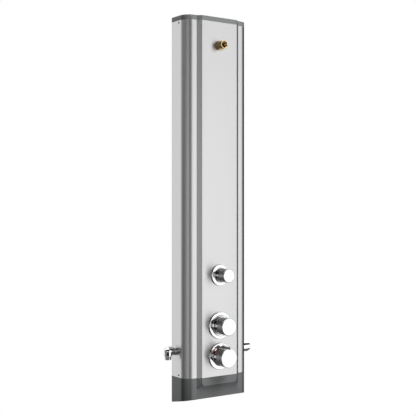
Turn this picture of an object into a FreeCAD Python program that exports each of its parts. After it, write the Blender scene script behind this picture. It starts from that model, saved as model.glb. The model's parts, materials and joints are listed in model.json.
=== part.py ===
import FreeCAD, Part
import math
import os
from collections import namedtuple

import Sketcher

# Shower panel column. Millimetres, +Z up, +Y towards the wall, +X to the right of someone
# who faces the panel. The wall is the plane Y = 0 and the origin is the middle of the lowest
# rear edge. Turned pieces are drawn about their own axis and then faced into the room.

DRIVING_SIZES = (
    # panel section, seen from above, and its height
    ("panel_height", 1200, "overall height of the panel"),
    ("panel_width", 239, "width over the flat sides"),
    ("shoulder_depth", 80, "wall to the flat shoulder of the front"),
    ("centre_raise", 10.5, "how far the centre strip stands proud of the shoulder"),
    ("shoulder_flat", 8.6, "flat of the shoulder between a front corner and the slope"),
    ("chamfer_run", 13.3, "width of the slope beside the centre strip"),
    ("corner_radius", 31, "radius of the front corners"),
    ("skin", 2.5, "wall of the extrusion"),
    ("port_radius", 4.5, "outside radius of a screw port in the extrusion"),
    ("port_bore", 1.9, "bore radius of a screw port"),
    # end caps
    ("top_cap_height", 15, "height of the top cap"),
    ("bottom_cap_height", 82, "height of the bottom cap at the wall"),
    ("floor_rise", 15.7, "rise of the bottom cap's floor from wall to shoulder"),
    ("cap_skin", 2.5, "wall of the caps"),
    ("cap_round", 0.6, "rounding of the top cap's rim"),
    ("face_drop", 25, "height of the centre face in the bottom cap"),
    ("slope_drop", 25, "height of the slope under the centre face"),
    ("face_round", 12, "lower corner radius of the centre face"),
    ("slope_round", 22, "lower corner radius of the slope's foot"),
    ("tongue_length", 8, "how far the caps' tongues reach into the extrusion"),
    ("tongue_gap", 0.25, "play between a tongue and the extrusion"),
    ("cap_screw_clearance", 2.2, "radius of the screw holes in the caps"),
    ("cap_screw_head", 4, "head radius of the top cap's screws"),
    ("deck_screw_head", 3.3, "head radius of the bottom cap's screws"),
    ("cap_screw_grip", 12, "screw length inside the screw port"),
    # wall brackets and the screws that lock the panel to them
    ("bracket_steel", 2.5, "steel thickness of the wall brackets"),
    ("bracket_height", 24, "height of a wall bracket"),
    ("bracket_ear_gap", 30, "flat of the shoulder to the end of a bracket's ears"),
    ("bracket_gap", 0.3, "play between a bracket and the extrusion"),
    ("bracket_inset", 1, "end of the extrusion to the bracket"),
    ("wall_hole_spacing", 140, "spacing of the two wall screws of a bracket"),
    ("wall_hole_radius", 3.5, "half the width of the slot for a wall screw"),
    ("wall_slot_length", 15, "length of the slot for a wall screw"),
    ("lock_inset", 7, "end of the extrusion to the locking screw"),
    ("lock_margin", 10, "end of a bracket's ear to the locking screw"),
    ("lock_slot_length", 8.5, "length of the slot in the panel's side"),
    ("lock_slot_width", 4.4, "width of the slot in the panel's side"),
    ("lock_radius", 2, "radius of the locking screw"),
    ("lock_sink", 0.6, "how far the locking screw lies under the side face"),
    # heights of the controls and fittings
    ("thermostat_z", 143.5, "height of the thermostat"),
    ("push_z", 239.5, "height of the self-closing valve"),
    ("diverter_z", 396.5, "height of the diverter"),
    ("outlet_drop", 88, "top of the panel to the shower-head outlet"),
    ("elbow_z", 163.5, "height of the hose elbow"),
    ("holder_z", 152.5, "height of the handset holder"),
    ("side_depth", 22.5, "wall to the axis of the hose elbow and the holder"),
    ("inlet_z", 300, "height of the hot and cold inlets"),
    # valve bodies, shared sizes
    ("pipe_setback", 34.5, "panel face to the plane of the pipes"),
    ("valve_length", 66.5, "panel face to the back of the valve bodies"),
    ("gasket", 1, "thickness of the rubber gaskets behind the front"),
    ("hole_play", 0.3, "play of a neck in the hole of the panel"),
    ("nut_height", 5, "height of the ring nuts in front of the panel"),
    ("port_boss", 11, "outside radius of a pipe port"),
    ("port_length", 30, "valve axis to the mouth of a pipe port"),
    ("pipe_radius", 7.5, "outside radius of the copper pipe"),
    ("pipe_bore", 6.5, "inside radius of the copper pipe"),
    ("pipe_seat", 12, "depth of the pipe in its port"),
    ("waterway", 6, "bore radius of the waterways"),
    ("pipe_nut_flats", 24, "width across flats of the compression nuts"),
    ("pipe_nut_height", 12, "height of the compression nuts"),
    ("spindle_play", 0.05, "play of spindles, plunger and stub in their bores"),
    ("spindle_radius", 4, "radius of the spindles"),
    ("cartridge_play", 0.05, "play of a cartridge in its valve body"),
    # thermostat
    ("thermostat_barrel", 24, "barrel radius of the thermostat body"),
    ("thermostat_neck", 19, "neck radius of the thermostat body"),
    ("thermostat_neck_reach", 8, "panel face to the end of the thermostat neck"),
    ("thermostat_bore", 14, "cartridge bore radius of the thermostat body"),
    ("thermostat_nut_flats", 46, "width across flats of the thermostat ring nut"),
    ("plate_rim", 5.2, "height of the escutcheons at their edges"),
    ("thermostat_plate", 41.5, "radius of the thermostat escutcheon"),
    ("thermostat_plate_hole", 27.5, "hole radius of the thermostat escutcheon"),
    ("thermostat_plate_reach", 8, "height of the thermostat escutcheon"),
    ("stop_ring_radius", 26.8, "outside radius of the stop ring"),
    ("stop_ring_top", 11, "panel face to the front of the stop ring"),
    ("thermostat_knob_radius", 30, "radius of the thermostat knob"),
    ("thermostat_knob_rim", 11.8, "panel face to the rear rim of the thermostat knob"),
    ("thermostat_knob_front", 51, "panel face to the front of the thermostat knob"),
    ("knob_shell", 2.3, "wall of the knobs"),
    ("knob_round", 2.4, "rounding of the knobs' front rim"),
    ("knob_web", 4, "thickness of the knobs' front wall"),
    ("knob_hub", 8, "radius of the knobs' hub"),
    ("thermostat_hub", 13, "grip of the thermostat knob on its spindle"),
    ("face_cap_radius", 26.5, "radius of the thermostat knob's face cap"),
    ("face_cap_thickness", 2, "thickness of the thermostat knob's face cap"),
    ("knob_screw_radius", 2, "radius of the thermostat knob's screw"),
    ("knob_screw_head", 3.6, "head radius of the thermostat knob's screw"),
    ("knob_screw_bite", 8, "length of the knob screw in the spindle"),
    # safety stop button on the thermostat knob
    ("stop_button_width", 7.6, "width of the stop button"),
    ("stop_button_proud", 4.8, "how far the stop button stands above the knob"),
    ("stop_button_back", 14, "panel face to the rear of the stop button"),
    ("stop_button_front", 50, "panel face to the front of the stop button"),
    ("stop_button_play", 0.3, "play of the stop button in its slot"),
    ("stop_button_foot", 2.2, "thickness of the stop button's foot"),
    ("stop_button_lip", 1.6, "how far the foot reaches past the slot"),
    ("stop_button_travel", 3, "travel of the stop button"),
    ("stop_spring_radius", 3, "coil radius of the stop button's spring"),
    ("stop_spring_wire", 0.4, "wire radius of the stop button's spring"),
    # self-closing valve
    ("push_barrel", 22, "barrel radius of the self-closing valve body"),
    ("push_neck", 17, "neck radius of the self-closing valve body"),
    ("push_neck_reach", 7, "panel face to the end of the self-closing valve's neck"),
    ("push_bore", 13, "cartridge bore radius of the self-closing valve body"),
    ("push_nut_flats", 42, "width across flats of the self-closing valve's ring nut"),
    ("push_plate", 42, "radius of the self-closing valve's escutcheon"),
    ("push_plate_step", 33, "radius of the step in that escutcheon"),
    ("push_plate_hole", 28.1, "hole radius of that escutcheon"),
    ("push_plate_reach", 10.5, "height of that escutcheon"),
    ("push_button_radius", 27.5, "radius of the push button"),
    ("push_button_rim", 9, "panel face to the rear rim of the push button"),
    ("push_button_front", 51, "panel face to the front of the push button"),
    ("push_hub", 7, "grip of the push button on its plunger"),
    ("push_travel", 7.5, "travel of the push button"),
    ("plunger_radius", 3, "radius of the plunger"),
    ("plunger_depth", 12, "panel face to the inner end of the plunger"),
    ("push_spring_radius", 11.5, "coil radius of the return spring"),
    ("push_spring_wire", 0.8, "wire radius of the return spring"),
    # diverter
    ("diverter_barrel", 20, "barrel radius of the diverter body"),
    ("diverter_neck", 15, "neck radius of the diverter body"),
    ("diverter_neck_reach", 7, "panel face to the end of the diverter's neck"),
    ("diverter_bore", 12, "cartridge bore radius of the diverter body"),
    ("diverter_nut_flats", 36, "width across flats of the diverter's ring nut"),
    ("diverter_plate", 33, "radius of the diverter escutcheon"),
    ("diverter_plate_hole", 22.3, "hole radius of the diverter escutcheon"),
    ("diverter_plate_reach", 10.2, "height of the diverter escutcheon"),
    ("diverter_knob_radius", 21.5, "radius of the diverter knob"),
    ("diverter_knob_rim", 9, "panel face to the rear rim of the diverter knob"),
    ("diverter_knob_front", 50, "panel face to the front of the diverter knob"),
    ("diverter_hub", 24, "grip of the diverter knob on its spindle"),
    ("grub_radius", 2, "radius of the diverter knob's grub screw"),
    # shower-head outlet
    ("thread_male", 10.48, "radius of the half-inch pipe thread outside"),
    ("thread_female", 9.3, "bore radius of the half-inch pipe thread inside"),
    ("thread_depth", 12, "depth of the half-inch threads"),
    ("outlet_barrel", 12.5, "radius of the outlet elbow"),
    ("outlet_flange", 16, "radius of the outlet elbow's flange"),
    ("outlet_nut_flats", 30, "width across flats of the outlet's locknut"),
    ("outlet_nut_height", 10, "height of the outlet's locknut"),
    ("outlet_groove", 2.5, "length of the narrow neck behind the outlet socket"),
    ("outlet_socket_radius", 13, "radius of the outlet socket"),
    ("outlet_reach", 26, "panel face to the front of the outlet socket"),
    # hose elbow and handset holder on the sides
    ("elbow_radius", 13.2, "radius of the hose elbow"),
    ("elbow_reach", 28, "side face to the axis of the elbow's outlet"),
    ("elbow_collar_radius", 14.3, "radius of the elbow's collar"),
    ("elbow_collar_height", 9, "height of the elbow's collar"),
    ("elbow_drop", 14.5, "elbow axis to the shoulder above the outlet thread"),
    ("elbow_tail", 20.5, "side face to the inner end of the elbow's tail"),
    ("elbow_nut_flats", 27, "width across flats of the elbow's locknut"),
    ("elbow_nut_height", 6, "height of the elbow's locknut"),
    ("holder_radius", 17.5, "radius of the handset holder"),
    ("holder_reach", 41, "side face to the end of the holder"),
    ("holder_rosette_radius", 19, "radius of the holder's rosette"),
    ("holder_rosette_height", 3.5, "height of the holder's rosette"),
    ("holder_socket_top", 12, "upper radius of the holder's tapered socket"),
    ("holder_socket_foot", 10.5, "lower radius of the holder's tapered socket"),
    ("holder_socket_offset", 25, "side face to the axis of the tapered socket"),
    ("holder_slot_width", 15, "width of the slot in the holder's end"),
    ("holder_cut_rise", 8, "holder axis to the start of the cut under its end"),
    ("holder_cut_run", 8, "length of the cut under the holder's end"),
    ("stub_radius", 5, "radius of the holder's stub"),
    ("stub_inside", 13, "side face to the inner end of the stub"),
    ("stub_nut_flats", 17, "width across flats of the stub's nut"),
    ("stub_nut_height", 5, "height of the stub's nut"),
    # hot and cold supply
    ("supply_gap", 6, "gap between the hand-shower pipe and the supply pipe beside it"),
    ("supply_straight", 3, "straight run between a compression nut and a supply pipe's bend"),
    ("supply_bend", 30, "bend radius of the supply pipes towards the wall"),
    ("inlet_setback", 2, "wall to the mouth of an inlet nut"),
    ("inlet_nut_length", 18, "length of an inlet nut"),
    ("inlet_nut_flats", 24, "width across flats of an inlet nut"),
    ("inlet_thread_depth", 10, "depth of an inlet nut's thread"),
    ("inlet_relief", 0.6, "how much wider an inlet nut is behind its thread"),
    ("inlet_play", 0.5, "inner end of an inlet's thread to its washer"),
    ("inlet_collar", 2, "thickness of the collar brazed to a supply pipe"),
    ("inlet_washer", 2, "thickness of an inlet washer"),
    # hand-shower pipe and riser
    ("hand_pipe_inset", 23.5, "side face to the axis of the hand-shower pipe"),
    ("hand_pipe_bend", 40, "bend radius of the hand-shower pipe"),
    ("hand_pipe_offset_top", 290, "height where the hand-shower pipe leaves the pipe plane"),
    ("hand_pipe_offset_foot", 225, "height where the hand-shower pipe reaches the elbow's plane"),
    ("clip_height", 14, "height of a riser clip"),
    ("clip_radius", 10.5, "outside radius of a riser clip"),
    ("clip_foot", 12, "width of a riser clip's foot"),
    ("lower_clip_z", 620, "height of the lower riser clip"),
    ("upper_clip_z", 880, "height of the upper riser clip"),
)

FAILED_STATES = ("Invalid", "Error")

UP = FreeCAD.Rotation()
DOWN = FreeCAD.Rotation(FreeCAD.Vector(1, 0, 0), 180)
RIGHT = FreeCAD.Rotation(FreeCAD.Vector(0, 1, 0), 90)
LEFT = FreeCAD.Rotation(FreeCAD.Vector(0, 1, 0), -90)
# in the frame of a control, whose own Z points into the room and whose own Y points up
LOCAL_UP = FreeCAD.Rotation(FreeCAD.Vector(1, 0, 0), -90)
LOCAL_DOWN = FreeCAD.Rotation(FreeCAD.Vector(1, 0, 0), 90)
INTO_ROOM = FreeCAD.Rotation(FreeCAD.Vector(1, 0, 0), 90)
TO_WALL = FreeCAD.Rotation(FreeCAD.Vector(1, 0, 0), -90)
TOUCH = 1e-4

doc = FreeCAD.newDocument("ShowerPanel")
nodes = []


# ---------------------------------------------------------------- sizes

class Size:
    """A length kept both as a number and as the sheet's expression for it."""

    def __init__(self, text, value):
        self.text = text
        self.value = value

    def __add__(self, other):
        return joined(self, "+", other)

    def __radd__(self, other):
        return joined(other, "+", self)

    def __sub__(self, other):
        return joined(self, "-", other)

    def __rsub__(self, other):
        return joined(other, "-", self)

    def __mul__(self, other):
        return joined(self, "*", other)

    def __rmul__(self, other):
        return joined(other, "*", self)

    def __truediv__(self, other):
        return joined(self, "/", other)

    def __neg__(self):
        return joined(0, "-", self)


def sized(number):
    """A plain number as a Size."""
    return number if isinstance(number, Size) else Size(f"({number})", float(number))


def joined(left, sign, right):
    """The Size of two lengths joined by an arithmetic sign."""
    left, right = sized(left), sized(right)
    results = {
        "+": lambda a, b: a + b,
        "-": lambda a, b: a - b,
        "*": lambda a, b: a * b,
        "/": lambda a, b: a / b,
    }
    return Size(f"({left.text} {sign} {right.text})", results[sign](left.value, right.value))


def root(size):
    return Size(f"sqrt({size.text})", math.sqrt(size.value))


def size_sheet():
    """Write the driving sizes into the sheet and return them by name."""
    sheet = doc.addObject("Spreadsheet::Sheet", "Sizes")
    names = {}
    for row, (alias, value, meaning) in enumerate(DRIVING_SIZES, 1):
        sheet.set(f"A{row}", meaning)
        sheet.set(f"B{row}", str(value))
        sheet.setAlias(f"B{row}", alias)
        names[alias] = Size(f"Sizes.{alias}", float(value))
    doc.recompute()
    return namedtuple("DrivingSizes", names)(**names)


S = size_sheet()

# derived places that several pieces share
half_width = S.panel_width / 2
half_strip = half_width - S.corner_radius - S.shoulder_flat - S.chamfer_run
panel_depth = S.shoulder_depth + S.centre_raise
slope_length = root(S.chamfer_run * S.chamfer_run + S.centre_raise * S.centre_raise)
profile_top = S.panel_height - S.top_cap_height
profile_foot = S.bottom_cap_height
corner_x = half_width - S.corner_radius
corner_y = S.shoulder_depth - S.corner_radius
hex_corner = 2 / math.sqrt(3)
pipe_plane = panel_depth - S.pipe_setback
port_diagonal = (S.corner_radius - S.skin - S.port_radius + 1) * math.sqrt(0.5)
corner_port = (corner_x + port_diagonal, -(corner_y + port_diagonal))
centre_port = (half_strip - S.port_radius * 2 + 1,
               -(panel_depth - S.skin - S.port_radius + 1))
ports = [(corner_port[0], corner_port[1]), (-corner_port[0], corner_port[1])]
front_ports = [(centre_port[0], centre_port[1]), (-centre_port[0], centre_port[1])]
tongue_x = corner_x - 5
bracket_reach = S.shoulder_depth - S.bracket_ear_gap
lock_depth = bracket_reach - S.lock_margin
floor_slope = S.floor_rise / S.shoulder_depth
outlet_z = S.panel_height - S.outlet_drop
hand_pipe_x = half_width - S.hand_pipe_inset
inlet_x = hand_pipe_x - 2 * S.pipe_radius - S.supply_gap


# ---------------------------------------------------------------- document helpers

def bind(item, prop, size):
    """Tie a property to the sheet, or set it where it is a plain number."""
    if isinstance(size, Size):
        item.setExpression(prop, size.text)
    else:
        setattr(item, prop, size)


def place(item, at=(0, 0, 0), turn=UP):
    """Put an object at a place whose coordinates may be sizes."""
    at = [sized(length) for length in at]
    item.Placement = FreeCAD.Placement(FreeCAD.Vector(*[length.value for length in at]), turn)
    for axis, length in zip("xyz", at):
        if "Sizes." in length.text:
            item.setExpression(f"Placement.Base.{axis}", length.text)
    return item


def made(kind, name, at=(0, 0, 0), turn=UP, **sizes):
    """A Part primitive with its sizes tied to the sheet."""
    item = doc.addObject(f"Part::{kind}", name)
    for prop, size in sizes.items():
        bind(item, prop, size)
    return place(item, at, turn)


def rod(name, radius, start, end, at=(0, 0)):
    """A cylinder along Z between two heights."""
    return made("Cylinder", name, (at[0], at[1], start), Radius=radius, Height=end - start)


def side_rod(name, radius, start, end, origin, turn):
    """A cylinder along a turned axis, from one distance along it to another."""
    direction = turn.multVec(FreeCAD.Vector(0, 0, 1))
    at = [sized(origin[i]) + round(direction[i]) * sized(start) for i in range(3)]
    return made("Cylinder", name, at, turn, Radius=radius, Height=end - start)


def hexagon(name, flats, start, end, at=(0, 0)):
    """A hexagonal prism along Z between two heights."""
    return made("Prism", name, (at[0], at[1], start), Polygon=6,
                Circumradius=flats / 2 * hex_corner, Height=end - start)


def block(name, x, y, z):
    """A box between two places along each axis."""
    spans = [(sized(low), sized(high)) for low, high in (x, y, z)]
    (x0, x1), (y0, y1), (z0, z1) = spans
    return made("Box", name, (x0, y0, z0), Length=x1 - x0, Width=y1 - y0, Height=z1 - z0)


def fused(name, *pieces):
    item = doc.addObject("Part::MultiFuse", name)
    item.Shapes = list(pieces)
    return item


def cut(name, base, *tools):
    item = doc.addObject("Part::Cut", name)
    item.Base = base
    item.Tool = tools[0] if len(tools) == 1 else fused(name + "_tools", *tools)
    return item


def grouped(name, *pieces):
    """Separate solids that share one node."""
    item = doc.addObject("Part::Compound", name)
    item.Links = list(pieces)
    return item


def node(name, item, at=None, turn=UP):
    """Label a finished piece, which names its file."""
    if at is not None:
        place(item, at, turn)
    item.Label = name
    nodes.append(item)
    return item


# ---------------------------------------------------------------- sketches

Bend = namedtuple("Bend", "x y centre_x centre_y turn")


def corner_of(point):
    return sized(point[0]), sized(point[1])


def arc_through(start, end, centre, turn):
    """The arc from start to end about centre, anticlockwise where turn is 1."""
    first = math.atan2(start.y - centre.y, start.x - centre.x)
    last = math.atan2(end.y - centre.y, end.x - centre.x)
    sweep = ((last - first) * turn) % (2 * math.pi)
    middle = first + turn * sweep / 2
    reach = (start - centre).Length
    crown = centre + FreeCAD.Vector(math.cos(middle), math.sin(middle), 0) * reach
    return Part.Arc(start, crown, end)


def fix_point(sketch, edge, end, x, y):
    """Tie one point of a sketch to its two coordinates."""
    for kind, axis, length in (("DistanceX", -2, x), ("DistanceY", -1, y)):
        if length.text == "(0)":
            sketch.addConstraint(Sketcher.Constraint("PointOnObject", edge, end, axis))
        else:
            index = sketch.addConstraint(Sketcher.Constraint(kind, edge, end, length.value))
            sketch.setExpression(f"Constraints[{index}]", length.text)


def draw(sketch, path):
    """Close an outline of lines and arcs whose corners are all tied to the sheet."""
    corners = [corner_of(point) for point in path]
    places = [FreeCAD.Vector(x.value, y.value, 0) for x, y in corners]
    first_edge = sketch.GeometryCount
    starts, ends = [], []
    for i, start in enumerate(places):
        after = (i + 1) % len(path)
        bend = path[after]
        if isinstance(bend, Bend):
            centre = FreeCAD.Vector(sized(bend.centre_x).value, sized(bend.centre_y).value, 0)
            shape = arc_through(start, places[after], centre, bend.turn)
        else:
            shape = Part.LineSegment(start, places[after])
        edge = sketch.addGeometry(shape, False)
        forward = (sketch.getPoint(edge, 1) - start).Length < TOUCH
        starts.append(1 if forward else 2)
        ends.append(2 if forward else 1)
    for i, (x, y) in enumerate(corners):
        edge, after = first_edge + i, (i + 1) % len(path)
        next_edge = first_edge + after
        sketch.addConstraint(
            Sketcher.Constraint("Coincident", edge, ends[i], next_edge, starts[after]))
        fix_point(sketch, edge, starts[i], x, y)
        if isinstance(path[after], Bend):
            fix_bend(sketch, edge, places[i], places[after], path[after])


def fix_bend(sketch, edge, start, end, bend):
    """Tie an arc's centre along the line that halves its chord."""
    chord = end - start
    if abs(chord.y) >= abs(chord.x):
        kind, length = "DistanceX", sized(bend.centre_x)
    else:
        kind, length = "DistanceY", sized(bend.centre_y)
    index = sketch.addConstraint(Sketcher.Constraint(kind, edge, 3, length.value))
    sketch.setExpression(f"Constraints[{index}]", length.text)


def ring(sketch, x, y, radius):
    """A circle tied to the sheet."""
    x, y, radius = sized(x), sized(y), sized(radius)
    centre = FreeCAD.Vector(x.value, y.value, 0)
    edge = sketch.addGeometry(Part.Circle(centre, FreeCAD.Vector(0, 0, 1), radius.value), False)
    fix_point(sketch, edge, 3, x, y)
    index = sketch.addConstraint(Sketcher.Constraint("Radius", edge, radius.value))
    sketch.setExpression(f"Constraints[{index}]", radius.text)


def slot_path(x, y, length, width):
    """A slot along the sketch's X axis."""
    reach, half = (length - width) / 2, width / 2
    return [
        (x - reach, y - half),
        (x + reach, y - half),
        Bend(x + reach, y + half, x + reach, y, 1),
        (x - reach, y + half),
    ], Bend(x - reach, y - half, x - reach, y, 1)


def draw_slot(sketch, x, y, length, width):
    path, closing = slot_path(x, y, length, width)
    draw(sketch, [closing] + path[1:])


def backwards(path):
    """The same outline drawn the other way round."""
    back = []
    for i in range(len(path) - 1, -1, -1):
        bend = path[i + 1] if i + 1 < len(path) else None
        if isinstance(bend, Bend):
            back.append(Bend(path[i][0], path[i][1], bend.centre_x, bend.centre_y, -bend.turn))
        else:
            back.append((path[i][0], path[i][1]))
    return back


# ---------------------------------------------------------------- PartDesign helpers

def new_body(name):
    return doc.addObject("PartDesign::Body", name)


def sketch_on(body, role, name, offset=None):
    """A sketch on one of the body's own origin planes."""
    plane = [item for item in body.Origin.OriginFeatures if item.Role == role][0]
    sketch = body.newObject("Sketcher::SketchObject", name)
    sketch.AttachmentSupport = [(plane, "")]
    sketch.MapMode = "FlatFace"
    if offset is not None:
        bind(sketch, "AttachmentOffset.Base.z", sized(offset))
    return sketch


def padded(body, sketch, length, midplane=False):
    pad = body.newObject("PartDesign::Pad", body.Name + "_pad")
    pad.Profile = sketch
    pad.Midplane = midplane
    bind(pad, "Length", length)
    return pad


def pocketed(body, sketch, both_ways=False, reversed_way=False):
    """A pocket through everything on one side of the sketch, or on both."""
    before = body.Shape.Volume
    pocket = body.newObject("PartDesign::Pocket", body.Name + "_pocket")
    pocket.Profile = sketch
    pocket.Type = "ThroughAll"
    pocket.Midplane = both_ways
    pocket.Reversed = reversed_way
    doc.recompute()
    if body.Shape.Volume >= before - TOUCH:
        raise RuntimeError(f"{pocket.Name} cuts nothing")
    return pocket


def rounded(body, kind, size, wanted):
    """Fillet or chamfer the edges of the body's tip that the test accepts."""
    doc.recompute()
    tip = body.Tip
    edges = [f"Edge{i}" for i, edge in enumerate(tip.Shape.Edges, 1) if wanted(edge)]
    if not edges:
        raise RuntimeError(f"no edge of {body.Name} to round")
    finish = body.newObject(f"PartDesign::{kind}", body.Name + "_round")
    finish.Base = (tip, edges)
    bind(finish, "Radius" if kind == "Fillet" else "Size", size)
    doc.recompute()
    return finish


def rim(radius, height):
    """A test for the round edge of a turned piece at a radius and a height."""
    radius, height = sized(radius).value, sized(height).value

    def wanted(edge):
        curve = edge.Curve
        return (isinstance(curve, Part.Circle) and abs(curve.Radius - radius) < TOUCH
                and abs(curve.Center.z - height) < TOUCH)

    return wanted


def turned(name, profile, *rounds):
    """A piece turned about its own Z axis, drawn as radius and height."""
    body = new_body(name)
    sketch = sketch_on(body, "XZ_Plane", name + "_profile")
    draw(sketch, profile)
    spin = body.newObject("PartDesign::Revolution", name + "_turned")
    spin.Profile = sketch
    spin.ReferenceAxis = (sketch, ["V_Axis"])
    spin.Angle = 360
    for size, radius, height in rounds:
        rounded(body, "Fillet", size, rim(radius, height))
    doc.recompute()
    return body


def pin(name, radius, start, end):
    """A turned pin with small chamfers at both ends."""
    bevel = radius / 8
    return turned(name, [
        (0, start), (radius - bevel, start), (radius, start + bevel), (radius, end - bevel),
        (radius - bevel, end), (0, end),
    ])


def at_front(height):
    """The place of a control: on the front face, at its height."""
    return (0, -panel_depth, height)


# ---------------------------------------------------------------- panel section

def section(inset, crowned=True):
    """The panel's outline from the left rear edge round the front to the right rear edge."""
    half = half_width - inset
    front = S.shoulder_depth - inset
    path = [
        (-half, 0),
        (-half, -corner_y),
        Bend(-corner_x, -front, -corner_x, -corner_y, 1),
    ]
    if crowned:
        shift = inset * (slope_length - S.chamfer_run) / S.centre_raise
        foot = half_strip + S.chamfer_run - shift
        edge = half_strip - shift
        crown = panel_depth - inset
        path += [(-foot, -front), (-edge, -crown), (edge, -crown), (foot, -front)]
    return path + [
        (corner_x, -front),
        Bend(half, -corner_y, corner_x, -corner_y, 1),
        (half, 0),
    ]


def housing_profile():
    """The aluminium extrusion: open at the back, with screw ports for the caps."""
    body = new_body("housing")
    length = profile_top - profile_foot
    sketch = sketch_on(body, "XY_Plane", "housing_section", profile_foot)
    draw(sketch, section(0) + backwards(section(S.skin)))
    padded(body, sketch, length)

    bosses = sketch_on(body, "XY_Plane", "housing_ports", profile_foot)
    for x, y in ports + front_ports:
        ring(bosses, x, y, S.port_radius)
    padded(body, bosses, length)
    doc.recompute()
    bores = sketch_on(body, "XY_Plane", "housing_port_bores")
    for x, y in ports + front_ports:
        ring(bores, x, y, S.port_bore)
    pocketed(body, bores, reversed_way=True)

    front = sketch_on(body, "XZ_Plane", "housing_front_holes")
    for height, neck in ((S.thermostat_z, S.thermostat_neck), (S.push_z, S.push_neck),
                         (S.diverter_z, S.diverter_neck), (outlet_z, S.thread_male)):
        ring(front, 0, height, neck + S.hole_play)
    pocketed(body, front, both_ways=True)

    slots = sketch_on(body, "YZ_Plane", "housing_lock_slots")
    for height in (profile_top - S.lock_inset, profile_foot + S.lock_inset):
        draw_slot(slots, -lock_depth, height, S.lock_slot_length, S.lock_slot_width)
    pocketed(body, slots, both_ways=True)

    for name, height, radius, to_the_right in (
            ("elbow", S.elbow_z, S.thread_male + S.hole_play, False),
            ("stub", S.holder_z, S.stub_radius + S.hole_play, True)):
        hole = sketch_on(body, "YZ_Plane", f"housing_{name}_hole")
        ring(hole, -S.side_depth, height, radius)
        pocketed(body, hole, reversed_way=to_the_right)
    return node("housing_profile", body)


# ---------------------------------------------------------------- caps

def tongue(name, side, low, high):
    """A tongue that keeps a cap in line with the extrusion's shoulder."""
    front = S.shoulder_depth - S.skin - S.tongue_gap
    span = (tongue_x - 4, tongue_x + 4) if side > 0 else (-(tongue_x + 4), -(tongue_x - 4))
    return block(name, span, (-front, -(front - S.cap_skin)), (low, high))


def top_cap():
    """A shallow moulded lid with pillars for its four screws."""
    shell = new_body("top_shell")
    sketch = sketch_on(shell, "XY_Plane", "top_outline", profile_top)
    draw(sketch, section(0))
    padded(shell, sketch, S.top_cap_height)
    top = S.panel_height.value

    def top_edge(edge):
        return all(abs(vertex.Z - top) < TOUCH for vertex in edge.Vertexes) and any(
            vertex.Y < -TOUCH for vertex in edge.Vertexes)

    rounded(shell, "Fillet", S.cap_round, top_edge)
    hollow = sketch_on(shell, "XY_Plane", "top_hollow", S.panel_height - S.cap_skin)
    draw(hollow, section(S.cap_skin))
    pocketed(shell, hollow)
    pieces = [shell]
    bores = []
    for i, (x, y) in enumerate(ports + front_ports):
        pieces.append(rod(f"top_pillar{i}", S.port_radius, profile_top,
                          S.panel_height - S.cap_skin / 2, (x, y)))
        bores.append(rod(f"top_bore{i}", S.cap_screw_clearance, profile_top - 1,
                         S.panel_height + 1, (x, y)))
        bores.append(made("Cone", f"top_sink{i}", (x, y, S.panel_height - S.cap_screw_head / 2),
                          Radius1=S.cap_screw_clearance, Radius2=S.cap_screw_head + 0.2,
                          Height=S.cap_screw_head / 2))
    for side in (1, -1):
        pieces.append(tongue("top_tongue", side, profile_top - S.tongue_length,
                             S.panel_height - S.cap_skin / 2))
    node("top_cap", cut("top_cap_piece", fused("top_solid", *pieces), *bores))

    screws = []
    for i, (x, y) in enumerate(ports + front_ports):
        sink = S.panel_height - S.cap_screw_head / 2
        head = made("Cone", f"top_screw_head{i}", (x, y, sink), Radius1=S.port_bore,
                    Radius2=S.cap_screw_head, Height=S.cap_screw_head / 2)
        shank = rod(f"top_screw_shank{i}", S.port_bore, profile_top - S.cap_screw_grip, sink,
                    (x, y))
        screws.append(fused(f"top_screw{i}", head, shank))
    node("top_cap_screws", grouped("top_screws", *screws))


def strip_outline(sketch, half, low, radius):
    """The rounded lower end of the raised centre strip, in the plane of the front."""
    draw(sketch, [
        (-half, profile_foot),
        (-half, low + radius),
        Bend(-half + radius, low, -half + radius, low + radius, 1),
        (half - radius, low),
        Bend(half, low + radius, half - radius, low + radius, 1),
        (half, profile_foot),
    ])


def wedge(body, name, lift):
    """The space under the slanted floor, lifted for the inside of the cap."""
    sketch = sketch_on(body, "YZ_Plane", name)
    reach = panel_depth + S.corner_radius
    draw(sketch, [
        (0, lift),
        (-reach, reach * floor_slope + lift),
        (-reach, -S.corner_radius),
        (0, -S.corner_radius),
    ])
    return sketch


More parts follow.
